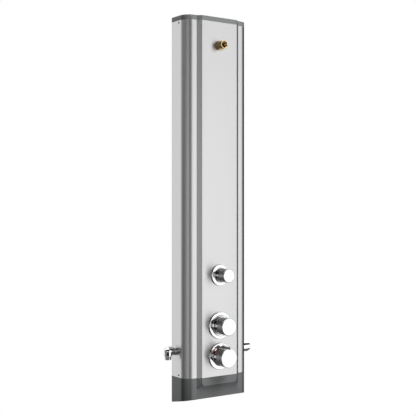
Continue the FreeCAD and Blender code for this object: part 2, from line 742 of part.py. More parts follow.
def bottom_cap():
    """The deep moulded foot: slanted floor, rounded end of the strip, deck for its screws."""
    shell = new_body("bottom_shell")
    outline = sketch_on(shell, "XY_Plane", "bottom_outline")
    draw(outline, section(0, crowned=False))
    padded(shell, outline, S.bottom_cap_height)
    face_foot = profile_foot - S.face_drop
    slope_foot = face_foot - S.slope_drop
    base = sketch_on(shell, "XZ_Plane", "strip_base", S.shoulder_depth)
    strip_outline(base, half_strip + S.chamfer_run, slope_foot, S.slope_round)
    face = sketch_on(shell, "XZ_Plane", "strip_face", panel_depth)
    strip_outline(face, half_strip, face_foot, S.face_round)
    strip = shell.newObject("PartDesign::AdditiveLoft", "strip_end")
    strip.Profile = base
    strip.Sections = [face]
    strip.Ruled = True
    doc.recompute()
    pocketed(shell, wedge(shell, "bottom_wedge", 0), both_ways=True)

    cavity = new_body("bottom_cavity")
    inner = sketch_on(cavity, "XY_Plane", "bottom_inside", -S.cap_skin)
    draw(inner, section(S.cap_skin, crowned=False))
    padded(cavity, inner, S.bottom_cap_height)
    doc.recompute()
    pocketed(cavity, wedge(cavity, "bottom_floor", S.cap_skin), both_ways=True)

    mouth = block("bottom_mouth", (-(half_width - S.cap_skin), half_width - S.cap_skin),
                  (-corner_y, 1), (S.bottom_cap_height - 2 * S.cap_skin,
                                   S.bottom_cap_height + 1))
    lip = block("bottom_lip", (-half_width + S.cap_skin / 2, half_width - S.cap_skin / 2),
                (-S.cap_skin, 0), (S.cap_skin / 2, S.cap_skin * 4))
    bores = [rod(f"deck_bore{i}", S.cap_screw_clearance, S.bottom_cap_height - 3 * S.cap_skin,
                 S.bottom_cap_height + 1, (x, y)) for i, (x, y) in enumerate(ports)]
    tongues = [tongue("bottom_tongue", side, S.bottom_cap_height - S.cap_skin / 2,
                      S.bottom_cap_height + S.tongue_length) for side in (1, -1)]
    hollow = cut("bottom_hollow", shell, cavity, mouth, *bores)
    node("bottom_cap", fused("bottom_cap_piece", hollow, lip, *tongues))

    screws = []
    deck = S.bottom_cap_height - S.cap_skin
    for i, (x, y) in enumerate(ports):
        head = rod(f"deck_screw_head{i}", S.deck_screw_head, deck - S.deck_screw_head / 2, deck,
                   (x, y))
        shank = rod(f"deck_screw_shank{i}", S.port_bore, deck,
                    S.bottom_cap_height + S.cap_screw_grip, (x, y))
        screws.append(fused(f"deck_screw{i}", head, shank))
    node("bottom_cap_screws", grouped("bottom_screws", *screws))


# ---------------------------------------------------------------- wall brackets

def wall_bracket(name, low, lock_height):
    """A steel U on the wall whose ears lie inside the panel's sides."""
    body = new_body(name + "_body")
    outer = half_width - S.skin - S.bracket_gap
    inner = outer - S.bracket_steel
    sketch = sketch_on(body, "XY_Plane", name + "_outline", low)
    draw(sketch, [
        (-outer, 0), (-outer, -bracket_reach), (-inner, -bracket_reach),
        (-inner, -S.bracket_steel), (inner, -S.bracket_steel), (inner, -bracket_reach),
        (outer, -bracket_reach), (outer, 0),
    ])
    padded(body, sketch, S.bracket_height)
    doc.recompute()
    wall_slots = sketch_on(body, "XZ_Plane", name + "_wall_slots")
    for side in (-1, 1):
        draw_slot(wall_slots, side * S.wall_hole_spacing / 2, low + S.bracket_height / 2,
                  S.wall_slot_length, 2 * S.wall_hole_radius)
    pocketed(body, wall_slots, both_ways=True)
    lock_holes = sketch_on(body, "YZ_Plane", name + "_lock_holes")
    ring(lock_holes, -lock_depth, lock_height, S.lock_radius)
    pocketed(body, lock_holes, both_ways=True)
    node(name, body)


def brackets():
    upper_low = profile_top - S.bracket_inset - S.bracket_height
    wall_bracket("upper_wall_bracket", upper_low, profile_top - S.lock_inset)
    wall_bracket("lower_wall_bracket", profile_foot + S.bracket_inset,
                 profile_foot + S.lock_inset)
    screws = []
    end = half_width - S.lock_sink
    start = half_width - S.skin - S.bracket_gap - S.bracket_steel - 1
    for height in (profile_top - S.lock_inset, profile_foot + S.lock_inset):
        for turn in (LEFT, RIGHT):
            screw = side_rod("lock_screw", S.lock_radius, start, end,
                             (0, -lock_depth, height), turn)
            key = side_rod("lock_key", S.lock_radius / 2, end - S.lock_radius / 2, end + 1,
                           (0, -lock_depth, height), turn)
            screws.append(cut("lock_screw_piece", screw, key))
    node("side_locking_screws", grouped("lock_screws", *screws))


# ---------------------------------------------------------------- valves

def valve_body(name, height, barrel, neck, neck_reach, bore, openings):
    """A brass casting: barrel behind the panel, neck through it, ports in the pipe plane."""
    back = -S.valve_length
    face = -S.skin - S.gasket
    centre = (0, 0, -S.pipe_setback)
    solids = [
        rod(name + "_barrel", barrel, back, face),
        rod(name + "_neck", neck, face - 1, neck_reach),
    ]
    voids = [rod(name + "_bore", bore, back + 6, neck_reach + 1)]
    for turn in openings:
        solids.append(side_rod(name + "_port", S.port_boss, 0, S.port_length, centre, turn))
        voids.append(side_rod(name + "_way", S.waterway, 0, S.port_length + 1, centre, turn))
        voids.append(side_rod(name + "_seat", S.pipe_radius, S.port_length - S.pipe_seat,
                              S.port_length + 1, centre, turn))
    casting = cut(name + "_casting", fused(name + "_solid", *solids), *voids)
    node(name, casting, at_front(height), INTO_ROOM)


def cartridge(name, height, bore, reach, head, nose, nose_reach, stem):
    """The valve's insert: barrel in the bore, head on the neck, nose around the stem."""
    barrel = bore - S.cartridge_play
    foot = -S.valve_length + 8
    hole = stem + S.spindle_play
    floor = -2 * S.plunger_depth - 4
    profile = [
        (0, foot), (barrel, foot), (barrel, reach), (head, reach), (head, reach + 3),
        (nose, reach + 3), (nose, nose_reach), (hole, nose_reach), (hole, floor), (0, floor),
    ]
    node(name, turned(name + "_piece", profile), at_front(height), INTO_ROOM)


def ring_nut(name, height, flats, neck, thickness):
    """A hexagonal ring nut in front of the panel, under the escutcheon."""
    nut = cut(name + "_piece", hexagon(name + "_hex", flats, 0, thickness),
              rod(name + "_thread", neck, -1, thickness + 1))
    node(name, nut, at_front(height), INTO_ROOM)


def gaskets():
    """Flat rubber rings between the brass and the back of the front wall."""
    rings = []
    for height, outer, neck in ((S.thermostat_z, S.thermostat_barrel, S.thermostat_neck),
                                (S.push_z, S.push_barrel, S.push_neck),
                                (S.diverter_z, S.diverter_barrel, S.diverter_neck),
                                (outlet_z, S.outlet_flange, S.thread_male)):
        back = -S.skin - S.gasket
        gasket = cut("gasket_piece", rod("gasket_disc", outer - 1, back, -S.skin),
                     rod("gasket_hole", neck, back - 1, -S.skin + 1))
        rings.append(place(gasket, at_front(height), INTO_ROOM))
    node("valve_gaskets", grouped("gasket_set", *rings))


def thermostat():
    height = S.thermostat_z
    valve_body("thermostat_body", height, S.thermostat_barrel, S.thermostat_neck,
               S.thermostat_neck_reach, S.thermostat_bore, (LEFT, RIGHT, LOCAL_UP))
    nose_reach = S.stop_ring_top + 7
    cartridge("thermostat_cartridge", height, S.thermostat_bore, S.thermostat_neck_reach,
              S.thermostat_neck - 2, S.knob_hub + 1, nose_reach, S.spindle_radius)
    ring_nut("thermostat_ring_nut", height, S.thermostat_nut_flats, S.thermostat_neck,
             S.nut_height)
    stop_ring = turned("stop_ring_piece", [
        (S.thermostat_neck + S.hole_play, S.nut_height),
        (S.stop_ring_radius, S.nut_height),
        (S.stop_ring_radius, S.stop_ring_top),
        (S.thermostat_neck + S.hole_play, S.stop_ring_top),
    ])
    node("thermostat_stop_ring", stop_ring, at_front(height), INTO_ROOM)
    plate, hole, reach = S.thermostat_plate, S.thermostat_plate_hole, S.thermostat_plate_reach
    escutcheon = turned("thermostat_plate_piece", [
        (plate, 0), (plate, S.plate_rim), (hole + 3, S.plate_rim + 1), (hole + 2, reach),
        (hole, reach), (hole, S.plate_rim), (plate - 2, S.plate_rim - 1.4), (plate - 2, 0),
    ], (1.4, plate, S.plate_rim))
    node("thermostat_escutcheon", escutcheon, at_front(height), INTO_ROOM)
    thermostat_knob()


def thermostat_knob():
    """Knob with a slot on top for the stop button, its cap, screw and spindle."""
    height = S.thermostat_z
    outer, front = S.thermostat_knob_radius, S.thermostat_knob_front
    inner, rear = outer - S.knob_shell, S.thermostat_knob_rim
    recess = front - S.face_cap_thickness
    web = recess - S.knob_web
    spindle_end = web - 12
    hub_foot = spindle_end - S.thermostat_hub
    shell = turned("thermostat_knob_shell", [
        (inner, rear), (outer, rear), (outer, front), (S.face_cap_radius, front),
        (S.face_cap_radius, recess), (S.knob_screw_radius, recess),
        (S.knob_screw_radius, spindle_end), (S.spindle_radius, spindle_end),
        (S.spindle_radius, hub_foot), (S.knob_hub, hub_foot), (S.knob_hub, web), (inner, web),
    ], (S.knob_round, outer, front))
    half = S.stop_button_width / 2
    play = S.stop_button_play
    slot = block("stop_slot", (-(half + play), half + play), (S.face_cap_radius + 0.1, outer + 1),
                 (S.stop_button_back - play, front + 1))
    node("thermostat_knob", cut("thermostat_knob_piece", shell, slot), at_front(height), INTO_ROOM)

    cap = turned("face_cap_piece", [
        (0, recess), (S.face_cap_radius, recess), (S.face_cap_radius, front), (0, front),
    ], (0.3, S.face_cap_radius, front))
    head_top = recess
    cap_pocket = rod("face_cap_pocket", S.knob_screw_head + 0.3, recess - 1, recess + 1.2)
    node("thermostat_knob_cap", cut("face_cap", cap, cap_pocket), at_front(height), INTO_ROOM)

    screw_end = spindle_end - S.knob_screw_bite
    screw = turned("knob_screw_piece", [
        (0, screw_end), (S.knob_screw_radius, screw_end), (S.knob_screw_radius, head_top),
        (S.knob_screw_head, head_top), (S.knob_screw_head, head_top + 1), (0, head_top + 1),
    ])
    node("thermostat_knob_screw", screw, at_front(height), INTO_ROOM)
    spindle = cut("thermostat_spindle_piece",
                  rod("thermostat_stem", S.spindle_radius, -S.plunger_depth, spindle_end),
                  rod("thermostat_stem_thread", S.knob_screw_radius, screw_end,
                      spindle_end + 1))
    node("thermostat_spindle", spindle, at_front(height), INTO_ROOM)
    stop_button(outer, inner)


def stop_button(outer, inner):
    """The button on top of the knob, its retaining foot and its small spring."""
    half = S.stop_button_width / 2
    foot_top = inner - 1.2
    foot_low = foot_top - S.stop_button_foot
    back, front = S.stop_button_back, S.stop_button_front
    bar_low = S.face_cap_radius + S.stop_button_travel + S.stop_button_play
    stem_end = front - S.knob_web - S.face_cap_thickness
    bar = block("stop_bar", (-half, half), (bar_low, outer + S.stop_button_proud), (back, front))
    stem = block("stop_stem", (-half, half), (foot_top - 1, bar_low + 1), (back, stem_end))
    foot = block("stop_foot", (-(half + S.stop_button_lip), half + S.stop_button_lip),
                 (foot_low, foot_top), (back + 1, stem_end - 4))
    round_top = doc.addObject("Part::Fillet", "stop_round")
    round_top.Base = bar
    doc.recompute()
    top = (outer + S.stop_button_proud).value
    edges = [i for i, edge in enumerate(bar.Shape.Edges, 1)
             if all(abs(vertex.Y - top) < TOUCH for vertex in edge.Vertexes)]
    radius = S.stop_button_play.value * 4
    round_top.Edges = [(i, radius, radius) for i in edges]
    node("safety_stop_button", fused("stop_button_piece", round_top, stem, foot),
         at_front(S.thermostat_z), INTO_ROOM)
    middle = (back + front) / 2
    spring = coil("stop_spring", S.stop_spring_radius - S.stop_spring_wire, S.stop_spring_wire,
                  S.knob_hub + S.stop_spring_wire, foot_low - S.stop_spring_wire, 6)
    spring = place(spring, (0, -panel_depth - middle, S.thermostat_z), UP)
    node("safety_stop_spring", spring)


def coil(name, radius, wire, low, high, turns):
    """A round-wire compression spring along Z, wound of tilted half rings that end level."""
    radius, wire, low, high = (sized(length).value for length in (radius, wire, low, high))
    rise = (high - low) / turns / 2
    rings = []
    for half in range(2 * turns):
        side = -1 if half % 2 else 1
        start = FreeCAD.Vector(side * radius, 0, low + half * rise)
        centre = FreeCAD.Vector(0, 0, low + (half + 0.5) * rise)
        axis = (start - centre).cross(FreeCAD.Vector(0, side, 0)).normalize()
        section_circle = Part.Circle(start, FreeCAD.Vector(0, 1, 0), wire)
        disc = Part.Face(Part.Wire([section_circle.toShape()]))
        rings.append(disc.revolve(centre, axis, 180))
    wound = rings[0].multiFuse(rings[1:])
    expected = 2 * turns * (math.pi * wire) ** 2 * math.hypot(radius, rise / 2)
    if len(wound.Solids) != 1 or abs(wound.Volume - expected) > 0.01 * expected:
        raise RuntimeError(f"{name} has lost its section")
    item = doc.addObject("Part::Feature", name)
    item.Shape = wound
    return item


def self_closing_valve():
    height = S.push_z
    valve_body("push_valve_body", height, S.push_barrel, S.push_neck, S.push_neck_reach,
               S.push_bore, (LOCAL_UP, LOCAL_DOWN))
    head = S.push_neck - 1.5
    nose_reach = S.push_neck_reach + 9
    cartridge("push_valve_cartridge", height, S.push_bore, S.push_neck_reach, head,
              S.push_spring_radius - 2 * S.push_spring_wire - 1, nose_reach, S.plunger_radius)
    ring_nut("push_valve_ring_nut", height, S.push_nut_flats, S.push_neck, S.nut_height)
    plate, step = S.push_plate, S.push_plate_step
    hole, reach = S.push_plate_hole, S.push_plate_reach
    escutcheon = turned("push_plate_piece", [
        (plate, 0), (plate, S.plate_rim), (step + 1, 6), (step, 6), (step, reach - 1.5),
        (step - 1.5, reach), (hole, reach), (hole, reach - 2), (step - 2.4, reach - 2),
        (step - 2.4, 4.6), (plate - 2, S.plate_rim - 1.4), (plate - 2, 0),
    ], (1.4, plate, S.plate_rim))
    node("push_valve_escutcheon", escutcheon, at_front(height), INTO_ROOM)

    outer, front, rear = S.push_button_radius, S.push_button_front, S.push_button_rim
    inner = outer - S.knob_shell
    web = front - S.knob_web
    hub, hub_foot = 2 * S.plunger_radius, web - S.push_hub
    button = turned("push_button_piece", [
        (inner, rear), (outer, rear), (outer, front), (0, front), (0, web),
        (S.plunger_radius, web), (S.plunger_radius, hub_foot), (hub, hub_foot), (hub, web),
        (inner, web),
    ], (S.knob_round, outer, front))
    node("push_button", button, at_front(height), INTO_ROOM)
    node("push_plunger", pin("plunger_piece", S.plunger_radius, -S.plunger_depth, web),
         at_front(height), INTO_ROOM)
    seat = S.push_neck_reach + 3
    spring = coil("return_spring", S.push_spring_radius - S.push_spring_wire, S.push_spring_wire,
                  seat + S.push_spring_wire, web - S.push_spring_wire, 7)
    node("push_button_spring", spring, at_front(height), INTO_ROOM)


def diverter():
    height = S.diverter_z
    valve_body("diverter_body", height, S.diverter_barrel, S.diverter_neck,
               S.diverter_neck_reach, S.diverter_bore, (LOCAL_UP, LOCAL_DOWN, LEFT))
    nose_reach = S.diverter_neck_reach + 8
    cartridge("diverter_cartridge", height, S.diverter_bore, S.diverter_neck_reach,
              S.diverter_neck - 1.5, S.knob_hub - 0.5, nose_reach, S.spindle_radius)
    ring_nut("diverter_ring_nut", height, S.diverter_nut_flats, S.diverter_neck, S.nut_height)
    plate, hole, reach = S.diverter_plate, S.diverter_plate_hole, S.diverter_plate_reach
    escutcheon = turned("diverter_plate_piece", [
        (plate, 0), (plate, S.plate_rim), (hole + 2, S.plate_rim + 1), (hole + 2, reach),
        (hole, reach), (hole, S.plate_rim), (plate - 2, S.plate_rim - 1.4), (plate - 2, 0),
    ], (1.4, plate, S.plate_rim))
    node("diverter_escutcheon", escutcheon, at_front(height), INTO_ROOM)

    outer, front, rear = S.diverter_knob_radius, S.diverter_knob_front, S.diverter_knob_rim
    inner, web = outer - S.knob_shell, front - S.knob_web
    spindle_end = web - 3
    hub_foot = spindle_end - S.diverter_hub
    shell = turned("diverter_knob_shell", [
        (inner, rear), (outer, rear), (outer, front), (0, front), (0, spindle_end),
        (S.spindle_radius, spindle_end), (S.spindle_radius, hub_foot), (S.knob_hub, hub_foot),
        (S.knob_hub, web), (inner, web),
    ], (S.knob_round, outer, front))
    grub_depth = hub_foot + 7
    access = side_rod("grub_access", S.grub_radius, S.spindle_radius, outer + 1,
                      (0, 0, grub_depth), LOCAL_DOWN)
    node("diverter_knob", cut("diverter_knob_piece", shell, access), at_front(height), INTO_ROOM)
    grub = side_rod("grub", S.grub_radius, S.spindle_radius, S.knob_hub, (0, 0, grub_depth),
                    LOCAL_DOWN)
    key = side_rod("grub_key", S.grub_radius / 2, S.knob_hub - 1.5, S.knob_hub + 1,
                   (0, 0, grub_depth), LOCAL_DOWN)
    node("diverter_grub_screw", cut("grub_piece", grub, key), at_front(height), INTO_ROOM)
    spindle = pin("diverter_stem", S.spindle_radius, -S.plunger_depth, spindle_end)
    node("diverter_spindle", spindle, at_front(height), INTO_ROOM)


# ---------------------------------------------------------------- shower-head outlet

def outlet():
    """Brass elbow behind the panel, locknut and threaded socket in front of it."""
    height = outlet_z
    flange_front = -S.skin - S.gasket
    neck_end = S.outlet_nut_height + S.outlet_groove
    centre = (0, 0, -S.pipe_setback)
    solid = fused(
        "outlet_elbow_solid",
        rod("outlet_barrel_rod", S.outlet_barrel, -S.pipe_setback - S.port_boss, flange_front),
        rod("outlet_flange_rod", S.outlet_flange, flange_front - 3, flange_front),
        rod("outlet_neck_rod", S.thread_male, flange_front - 1, neck_end),
        side_rod("outlet_leg", S.port_boss, 0, S.port_length, centre, LOCAL_DOWN))
    elbow = cut(
        "outlet_elbow_piece", solid,
        rod("outlet_way", S.waterway, -S.pipe_setback, neck_end + 1),
        side_rod("outlet_leg_way", S.waterway, 0, S.port_length + 1, centre, LOCAL_DOWN),
        side_rod("outlet_leg_seat", S.pipe_radius, S.port_length - S.pipe_seat,
                 S.port_length + 1, centre, LOCAL_DOWN))
    node("outlet_elbow", elbow, at_front(height), INTO_ROOM)
    ring_nut("outlet_locknut", height, S.outlet_nut_flats, S.thread_male, S.outlet_nut_height)
    outer, front = S.outlet_socket_radius, S.outlet_reach
    socket = turned("outlet_socket_piece", [
        (S.waterway, neck_end), (outer, neck_end), (outer, front), (S.thread_female + 1, front),
        (S.thread_female, front - 1), (S.thread_female, neck_end + 1.5),
        (S.waterway, neck_end + 1.5),
    ], (0.8, outer, neck_end), (0.8, outer, front))
    node("outlet_socket", socket, at_front(height), INTO_ROOM)


# ---------------------------------------------------------------- fittings on the sides

def hose_elbow():
    """Chromed elbow on the left side, its collar, locknut and inner elbow."""
    centre = (-half_width, -S.side_depth, S.elbow_z)
    bend = (-half_width - S.elbow_reach, -S.side_depth, S.elbow_z)
    thread_end = S.elbow_drop + S.thread_depth
    solid = fused(
        "hose_elbow_solid",
        side_rod("elbow_arm", S.elbow_radius, S.elbow_collar_height, S.elbow_reach, centre, LEFT),
        made("Sphere", "elbow_corner", bend, Radius=S.elbow_radius),
        side_rod("elbow_leg", S.elbow_radius, 0, S.elbow_drop, bend, DOWN),
        side_rod("elbow_thread", S.thread_male, 0, thread_end, bend, DOWN),
        side_rod("elbow_tail_rod", S.thread_male, -S.elbow_tail, S.elbow_collar_height + 1,
                 centre, LEFT))
    elbow = cut(
        "hose_elbow_piece", solid,
        side_rod("elbow_way", S.waterway, -S.elbow_tail - 1, S.elbow_reach, centre, LEFT),
        side_rod("elbow_leg_way", S.waterway, 0, thread_end + 1, bend, DOWN),
        made("Sphere", "elbow_way_corner", bend, Radius=S.waterway))
    node("hose_elbow", elbow)
    groove = S.elbow_collar_height / 2
    collar = turned("collar_piece", [
        (S.thread_male, 0), (S.elbow_collar_radius, 0), (S.elbow_collar_radius, groove),
        (S.elbow_collar_radius - 0.7, groove + 0.4),
        (S.elbow_collar_radius, groove + 0.8),
        (S.elbow_collar_radius, S.elbow_collar_height),
        (S.thread_male, S.elbow_collar_height),
    ], (0.6, S.elbow_collar_radius, S.elbow_collar_height))
    node("hose_elbow_collar", collar, centre, LEFT)

    nut_start = S.skin
    nut_end = nut_start + S.elbow_nut_height
    locknut = cut("elbow_nut_piece", hexagon("elbow_nut_hex", S.elbow_nut_flats, nut_start,
                                             nut_end),
                  rod("elbow_nut_thread", S.thread_male, nut_start - 1, nut_end + 1))
    node("hose_elbow_locknut", locknut, centre, RIGHT)

    pipe_axis = half_width - hand_pipe_x
    upright = (-hand_pipe_x, -S.side_depth, S.elbow_z)
    block_end = pipe_axis + S.port_boss + 1
    inner = cut(
        "inner_elbow_piece",
        fused("inner_elbow_solid",
              side_rod("inner_arm", S.elbow_radius, nut_end, block_end, centre, RIGHT),
              side_rod("inner_port", S.port_boss, 0, S.port_length, upright, UP)),
        side_rod("inner_thread", S.thread_male, nut_end - 1, S.elbow_tail, centre, RIGHT),
        side_rod("inner_way", S.waterway, nut_end, pipe_axis, centre, RIGHT),
        side_rod("inner_port_way", S.waterway, 0, S.port_length + 1, upright, UP),
        side_rod("inner_seat", S.pipe_radius, S.port_length - S.pipe_seat, S.port_length + 1,
                 upright, UP))
    node("hose_inner_elbow", inner)


def handset_holder():
    """Stub-mounted holder on the right side with a tapered socket, open at its end."""
    centre = (half_width, -S.side_depth, S.holder_z)
    rosette_top = S.holder_rosette_height
    rosette = turned("rosette_piece", [
        (S.stub_radius + S.spindle_play, 0), (S.holder_rosette_radius, 0),
        (S.holder_rosette_radius, rosette_top),
        (S.stub_radius + S.spindle_play, rosette_top),
    ], (1, S.holder_rosette_radius, rosette_top))
    node("holder_rosette", rosette, centre, RIGHT)

    start, end, radius = rosette_top + S.hole_play, S.holder_reach, S.holder_radius
    barrel = side_rod("holder_barrel", radius, start, end, centre, RIGHT)
    socket_x = half_width + S.holder_socket_offset
    socket = made("Cone", "holder_socket", (socket_x, -S.side_depth, S.holder_z - radius - 1),
                  Radius1=S.holder_socket_foot, Radius2=S.holder_socket_top,
                  Height=2 * radius + 2)
    slot = block("holder_slot", (socket_x, half_width + end + 1),
                 (-S.side_depth - S.holder_slot_width / 2,
                  -S.side_depth + S.holder_slot_width / 2),
                 (S.holder_z - radius - 1, S.holder_z + radius + 1))
    under = holder_undercut(end, radius)
    bore = side_rod("holder_stub_bore", S.stub_radius, start - 1, start + 6, centre, RIGHT)
    node("handset_holder", cut("holder_piece", barrel, socket, slot, under, bore))

    stub = side_rod("holder_stub_rod", S.stub_radius, -S.stub_inside, start + 6, centre, RIGHT)
    node("holder_stub", stub)
    nut_end = S.skin + S.spindle_play * 2
    washer = cut("stub_washer_piece",
                 rod("stub_washer_disc", S.stub_radius * 2, nut_end, nut_end + 1),
                 rod("stub_washer_hole", S.stub_radius, nut_end - 1, nut_end + 2))
    nut = cut("stub_nut_piece",
              hexagon("stub_nut_hex", S.stub_nut_flats, nut_end + 1,
                      nut_end + 1 + S.stub_nut_height),
              rod("stub_nut_thread", S.stub_radius, nut_end, nut_end + 2 + S.stub_nut_height))
    node("holder_nut", grouped("holder_nut_set", nut, washer), centre, LEFT)


def holder_undercut(end, radius):
    """The slanted cut under the holder's end."""
    body = new_body("holder_undercut")
    sketch = sketch_on(body, "XZ_Plane", "undercut_outline", S.side_depth)
    tip = half_width + end
    draw(sketch, [
        (tip + 1, S.holder_z - S.holder_cut_rise + 1),
        (tip, S.holder_z - S.holder_cut_rise),
        (tip - S.holder_cut_run, S.holder_z - radius),
        (tip - S.holder_cut_run, S.holder_z - radius - 1),
        (tip + 1, S.holder_z - radius - 1),
    ])
    padded(body, sketch, 2 * radius + 2, midplane=True)
    return body


# ---------------------------------------------------------------- pipes

def rounded_route(corners, radii):
    """A wire of straight runs joined by tangent arcs at the inner corners."""
    points = [FreeCAD.Vector(*corner) for corner in corners]
    edges = []
    start = points[0]
    for before, corner, after, radius in zip(points, points[1:], points[2:], radii):
        into = (corner - before).normalize()
        out = (after - corner).normalize()
        turn = into.getAngle(out)
        trim = radius * math.tan(turn / 2)
        first, last = corner - into * trim, corner + out * trim
        towards_centre = (out - into).normalize()
        centre = corner + towards_centre * (radius / math.cos(turn / 2))
        crown = centre - towards_centre * radius
        edges.append(Part.LineSegment(start, first).toShape())
        edges.append(Part.Arc(first, crown, last).toShape())
        start = last
    edges.append(Part.LineSegment(start, points[-1]).toShape())
    return Part.Wire(edges)


def tube(name, corners, radii, outer, inner):
    """A tube along a route, with its volume checked against section times length."""
    corners = [[sized(length).value for length in corner] for corner in corners]
    route = rounded_route(corners, [sized(radius).value for radius in radii])
    direction = FreeCAD.Vector(*corners[1]) - FreeCAD.Vector(*corners[0])
    solids = []
    for radius in (outer.value, inner.value):
        circle = Part.Circle(FreeCAD.Vector(*corners[0]), direction, radius)
        solids.append(route.makePipeShell([Part.Wire([circle.toShape()])], True, False))
    shape = solids[0].cut(solids[1])
    expected = math.pi * (outer.value ** 2 - inner.value ** 2) * route.Length
    if abs(shape.Volume - expected) > 0.01 * expected:
        raise RuntimeError(f"{name} has lost its section")
    item = doc.addObject("Part::Feature", name + "_tube")
    item.Shape = shape
    node(name, item)


def straight_pipe(name, low, high):
    """A straight copper pipe between two ports in the pipe plane."""
    pipe = cut(name + "_piece",
               rod(name + "_outside", S.pipe_radius, low, high, (0, -pipe_plane)),
               rod(name + "_inside", S.pipe_bore, low - 1, high + 1, (0, -pipe_plane)))
    node(name, pipe)


def pipes():
    seat = S.port_length - S.pipe_seat
    straight_pipe("lower_link_pipe", S.thermostat_z + seat, S.push_z - seat)
    straight_pipe("upper_link_pipe", S.push_z + seat, S.diverter_z - seat)
    straight_pipe("riser_pipe", S.diverter_z + seat, outlet_z - seat)
    tube("hand_shower_pipe", [
        (-seat, -pipe_plane, S.diverter_z),
        (-hand_pipe_x, -pipe_plane, S.diverter_z),
        (-hand_pipe_x, -pipe_plane, S.hand_pipe_offset_top),
        (-hand_pipe_x, -S.side_depth, S.hand_pipe_offset_foot),
        (-hand_pipe_x, -S.side_depth, S.elbow_z + seat),
    ], [S.hand_pipe_bend, S.hand_pipe_bend * 1.5, S.hand_pipe_bend * 1.5],
        S.pipe_radius, S.pipe_bore)


def pipe_nut(place_at, turn):
    """A compression nut whose rear face lies on the mouth of a port."""
    nut = cut("pipe_nut_piece", hexagon("pipe_nut_hex", S.pipe_nut_flats, 0, S.pipe_nut_height),
              rod("pipe_nut_bore", S.pipe_radius, -1, S.pipe_nut_height + 1))
    return place(nut, place_at, turn)


def compression_nuts():
    mouth = S.port_length
    plane = -pipe_plane
    nuts = []
    for height in (S.thermostat_z, S.push_z, S.diverter_z):
        nuts.append(pipe_nut((0, plane, height + mouth), UP))
    for height in (S.push_z, S.diverter_z, outlet_z):
        nuts.append(pipe_nut((0, plane, height - mouth), DOWN))
    nuts.append(pipe_nut((-mouth, plane, S.diverter_z), LEFT))
    for side, turn in ((-1, LEFT), (1, RIGHT)):
        nuts.append(pipe_nut((side * mouth, plane, S.thermostat_z), turn))
    nuts.append(pipe_nut((-hand_pipe_x, -S.side_depth, S.elbow_z + mouth), UP))
    node("compression_nuts", grouped("compression_nut_set", *nuts))


def supplies():
    """Hot pipe on the left and cold pipe on the right, up to their inlets on the wall."""
    seat = S.port_length - S.pipe_seat
    plane = -pipe_plane
    washer_front = S.inlet_thread_depth + S.inlet_play
    collar_front = washer_front + S.inlet_washer
    shoulder = collar_front + S.inlet_collar
    side_bend = inlet_x - S.port_length - S.pipe_nut_height - S.supply_straight
    collars, washers = [], []
    for name, side in (("hot", -1), ("cold", 1)):
        x = side * inlet_x
        mouth = (x, -S.inlet_setback, S.inlet_z)
        tube(f"{name}_supply_pipe", [
            (side * seat, plane, S.thermostat_z),
            (x, plane, S.thermostat_z),
            (x, plane, S.inlet_z),
            (x, -(S.inlet_setback + collar_front), S.inlet_z),
        ], [side_bend, S.supply_bend], S.pipe_radius, S.pipe_bore)
        inlet = cut(
            f"{name}_inlet_piece",
            hexagon(f"{name}_inlet_hex", S.inlet_nut_flats, 0, S.inlet_nut_length),
            rod(f"{name}_inlet_thread", S.thread_female, -1, S.inlet_thread_depth + 1),
            rod(f"{name}_inlet_relief", S.thread_female + S.inlet_relief,
                S.inlet_thread_depth, shoulder),
            rod(f"{name}_inlet_way", S.pipe_radius, 0, S.inlet_nut_length + 1))
        node(f"{name}_inlet_nut", inlet, mouth, INTO_ROOM)
        for pieces, inner, front, back in (
                (collars, S.pipe_radius, collar_front, shoulder),
                (washers, S.waterway, washer_front, collar_front)):
            flat_ring = cut("inlet_ring_piece",
                            rod("inlet_ring_disc", S.thread_female - S.hole_play, front, back),
                            rod("inlet_ring_hole", inner, 0, S.inlet_nut_length))
            pieces.append(place(flat_ring, mouth, INTO_ROOM))
    node("inlet_collars", grouped("inlet_collar_set", *collars))
    node("inlet_washers", grouped("inlet_washer_set", *washers))


def riser_clips():
    """Two clips that hold the riser to the back of the front wall."""
    clips = []
    for height in (S.lower_clip_z, S.upper_clip_z):
        low, high = height - S.clip_height / 2, height + S.clip_height / 2
        ring_part = rod("clip_ring", S.clip_radius, low, high, (0, -pipe_plane))
        foot = block("clip_foot", (-S.clip_foot / 2, S.clip_foot / 2),
                     (-(panel_depth - S.skin), -pipe_plane), (low, high))
        pad = block("clip_pad", (-S.clip_foot, S.clip_foot),
                    (-(panel_depth - S.skin), -(panel_depth - 2 * S.skin)), (low, high))
        bore = rod("clip_bore", S.pipe_radius, low - 1, high + 1, (0, -pipe_plane))
        clips.append(cut("clip_piece", fused("clip_solid", ring_part, foot, pad), bore))
    node("riser_clips", grouped("riser_clip_set", *clips))


# ---------------------------------------------------------------- assembly

def build():
    housing_profile()
    top_cap()
    bottom_cap()
    brackets()
    thermostat()
    self_closing_valve()
    diverter()
    gaskets()
    outlet()
    hose_elbow()
    handset_holder()
    pipes()
    compression_nuts()
    supplies()
    riser_clips()
    doc.recompute()


def check():
    """Stop where an object failed or a piece is not a valid solid."""
    for item in doc.Objects:
        if any(word in item.State for word in FAILED_STATES):
            raise RuntimeError(f"{item.Name} ({item.Label}) failed: {item.State}")
    for item in nodes:
        shape = item.Shape
        if shape.isNull() or not shape.isValid() or not shape.Solids:
            raise RuntimeError(f"{item.Label} has no valid solid")


def write():
    os.makedirs("parts", exist_ok=True)
    for item in nodes:
        item.Shape.exportStep(os.path.join("parts", item.Label + ".step"))
        print(f"{item.Label}: {len(item.Shape.Solids)} solid(s), {item.Shape.Volume:.1f} mm3")


build()
check()
write()
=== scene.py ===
"""A wall-mounted shower panel column: satin aluminium, grey moulded caps and chromed controls.

Metres, +Z up, +Y into the wall, +X to the right of someone who faces the panel.
"""

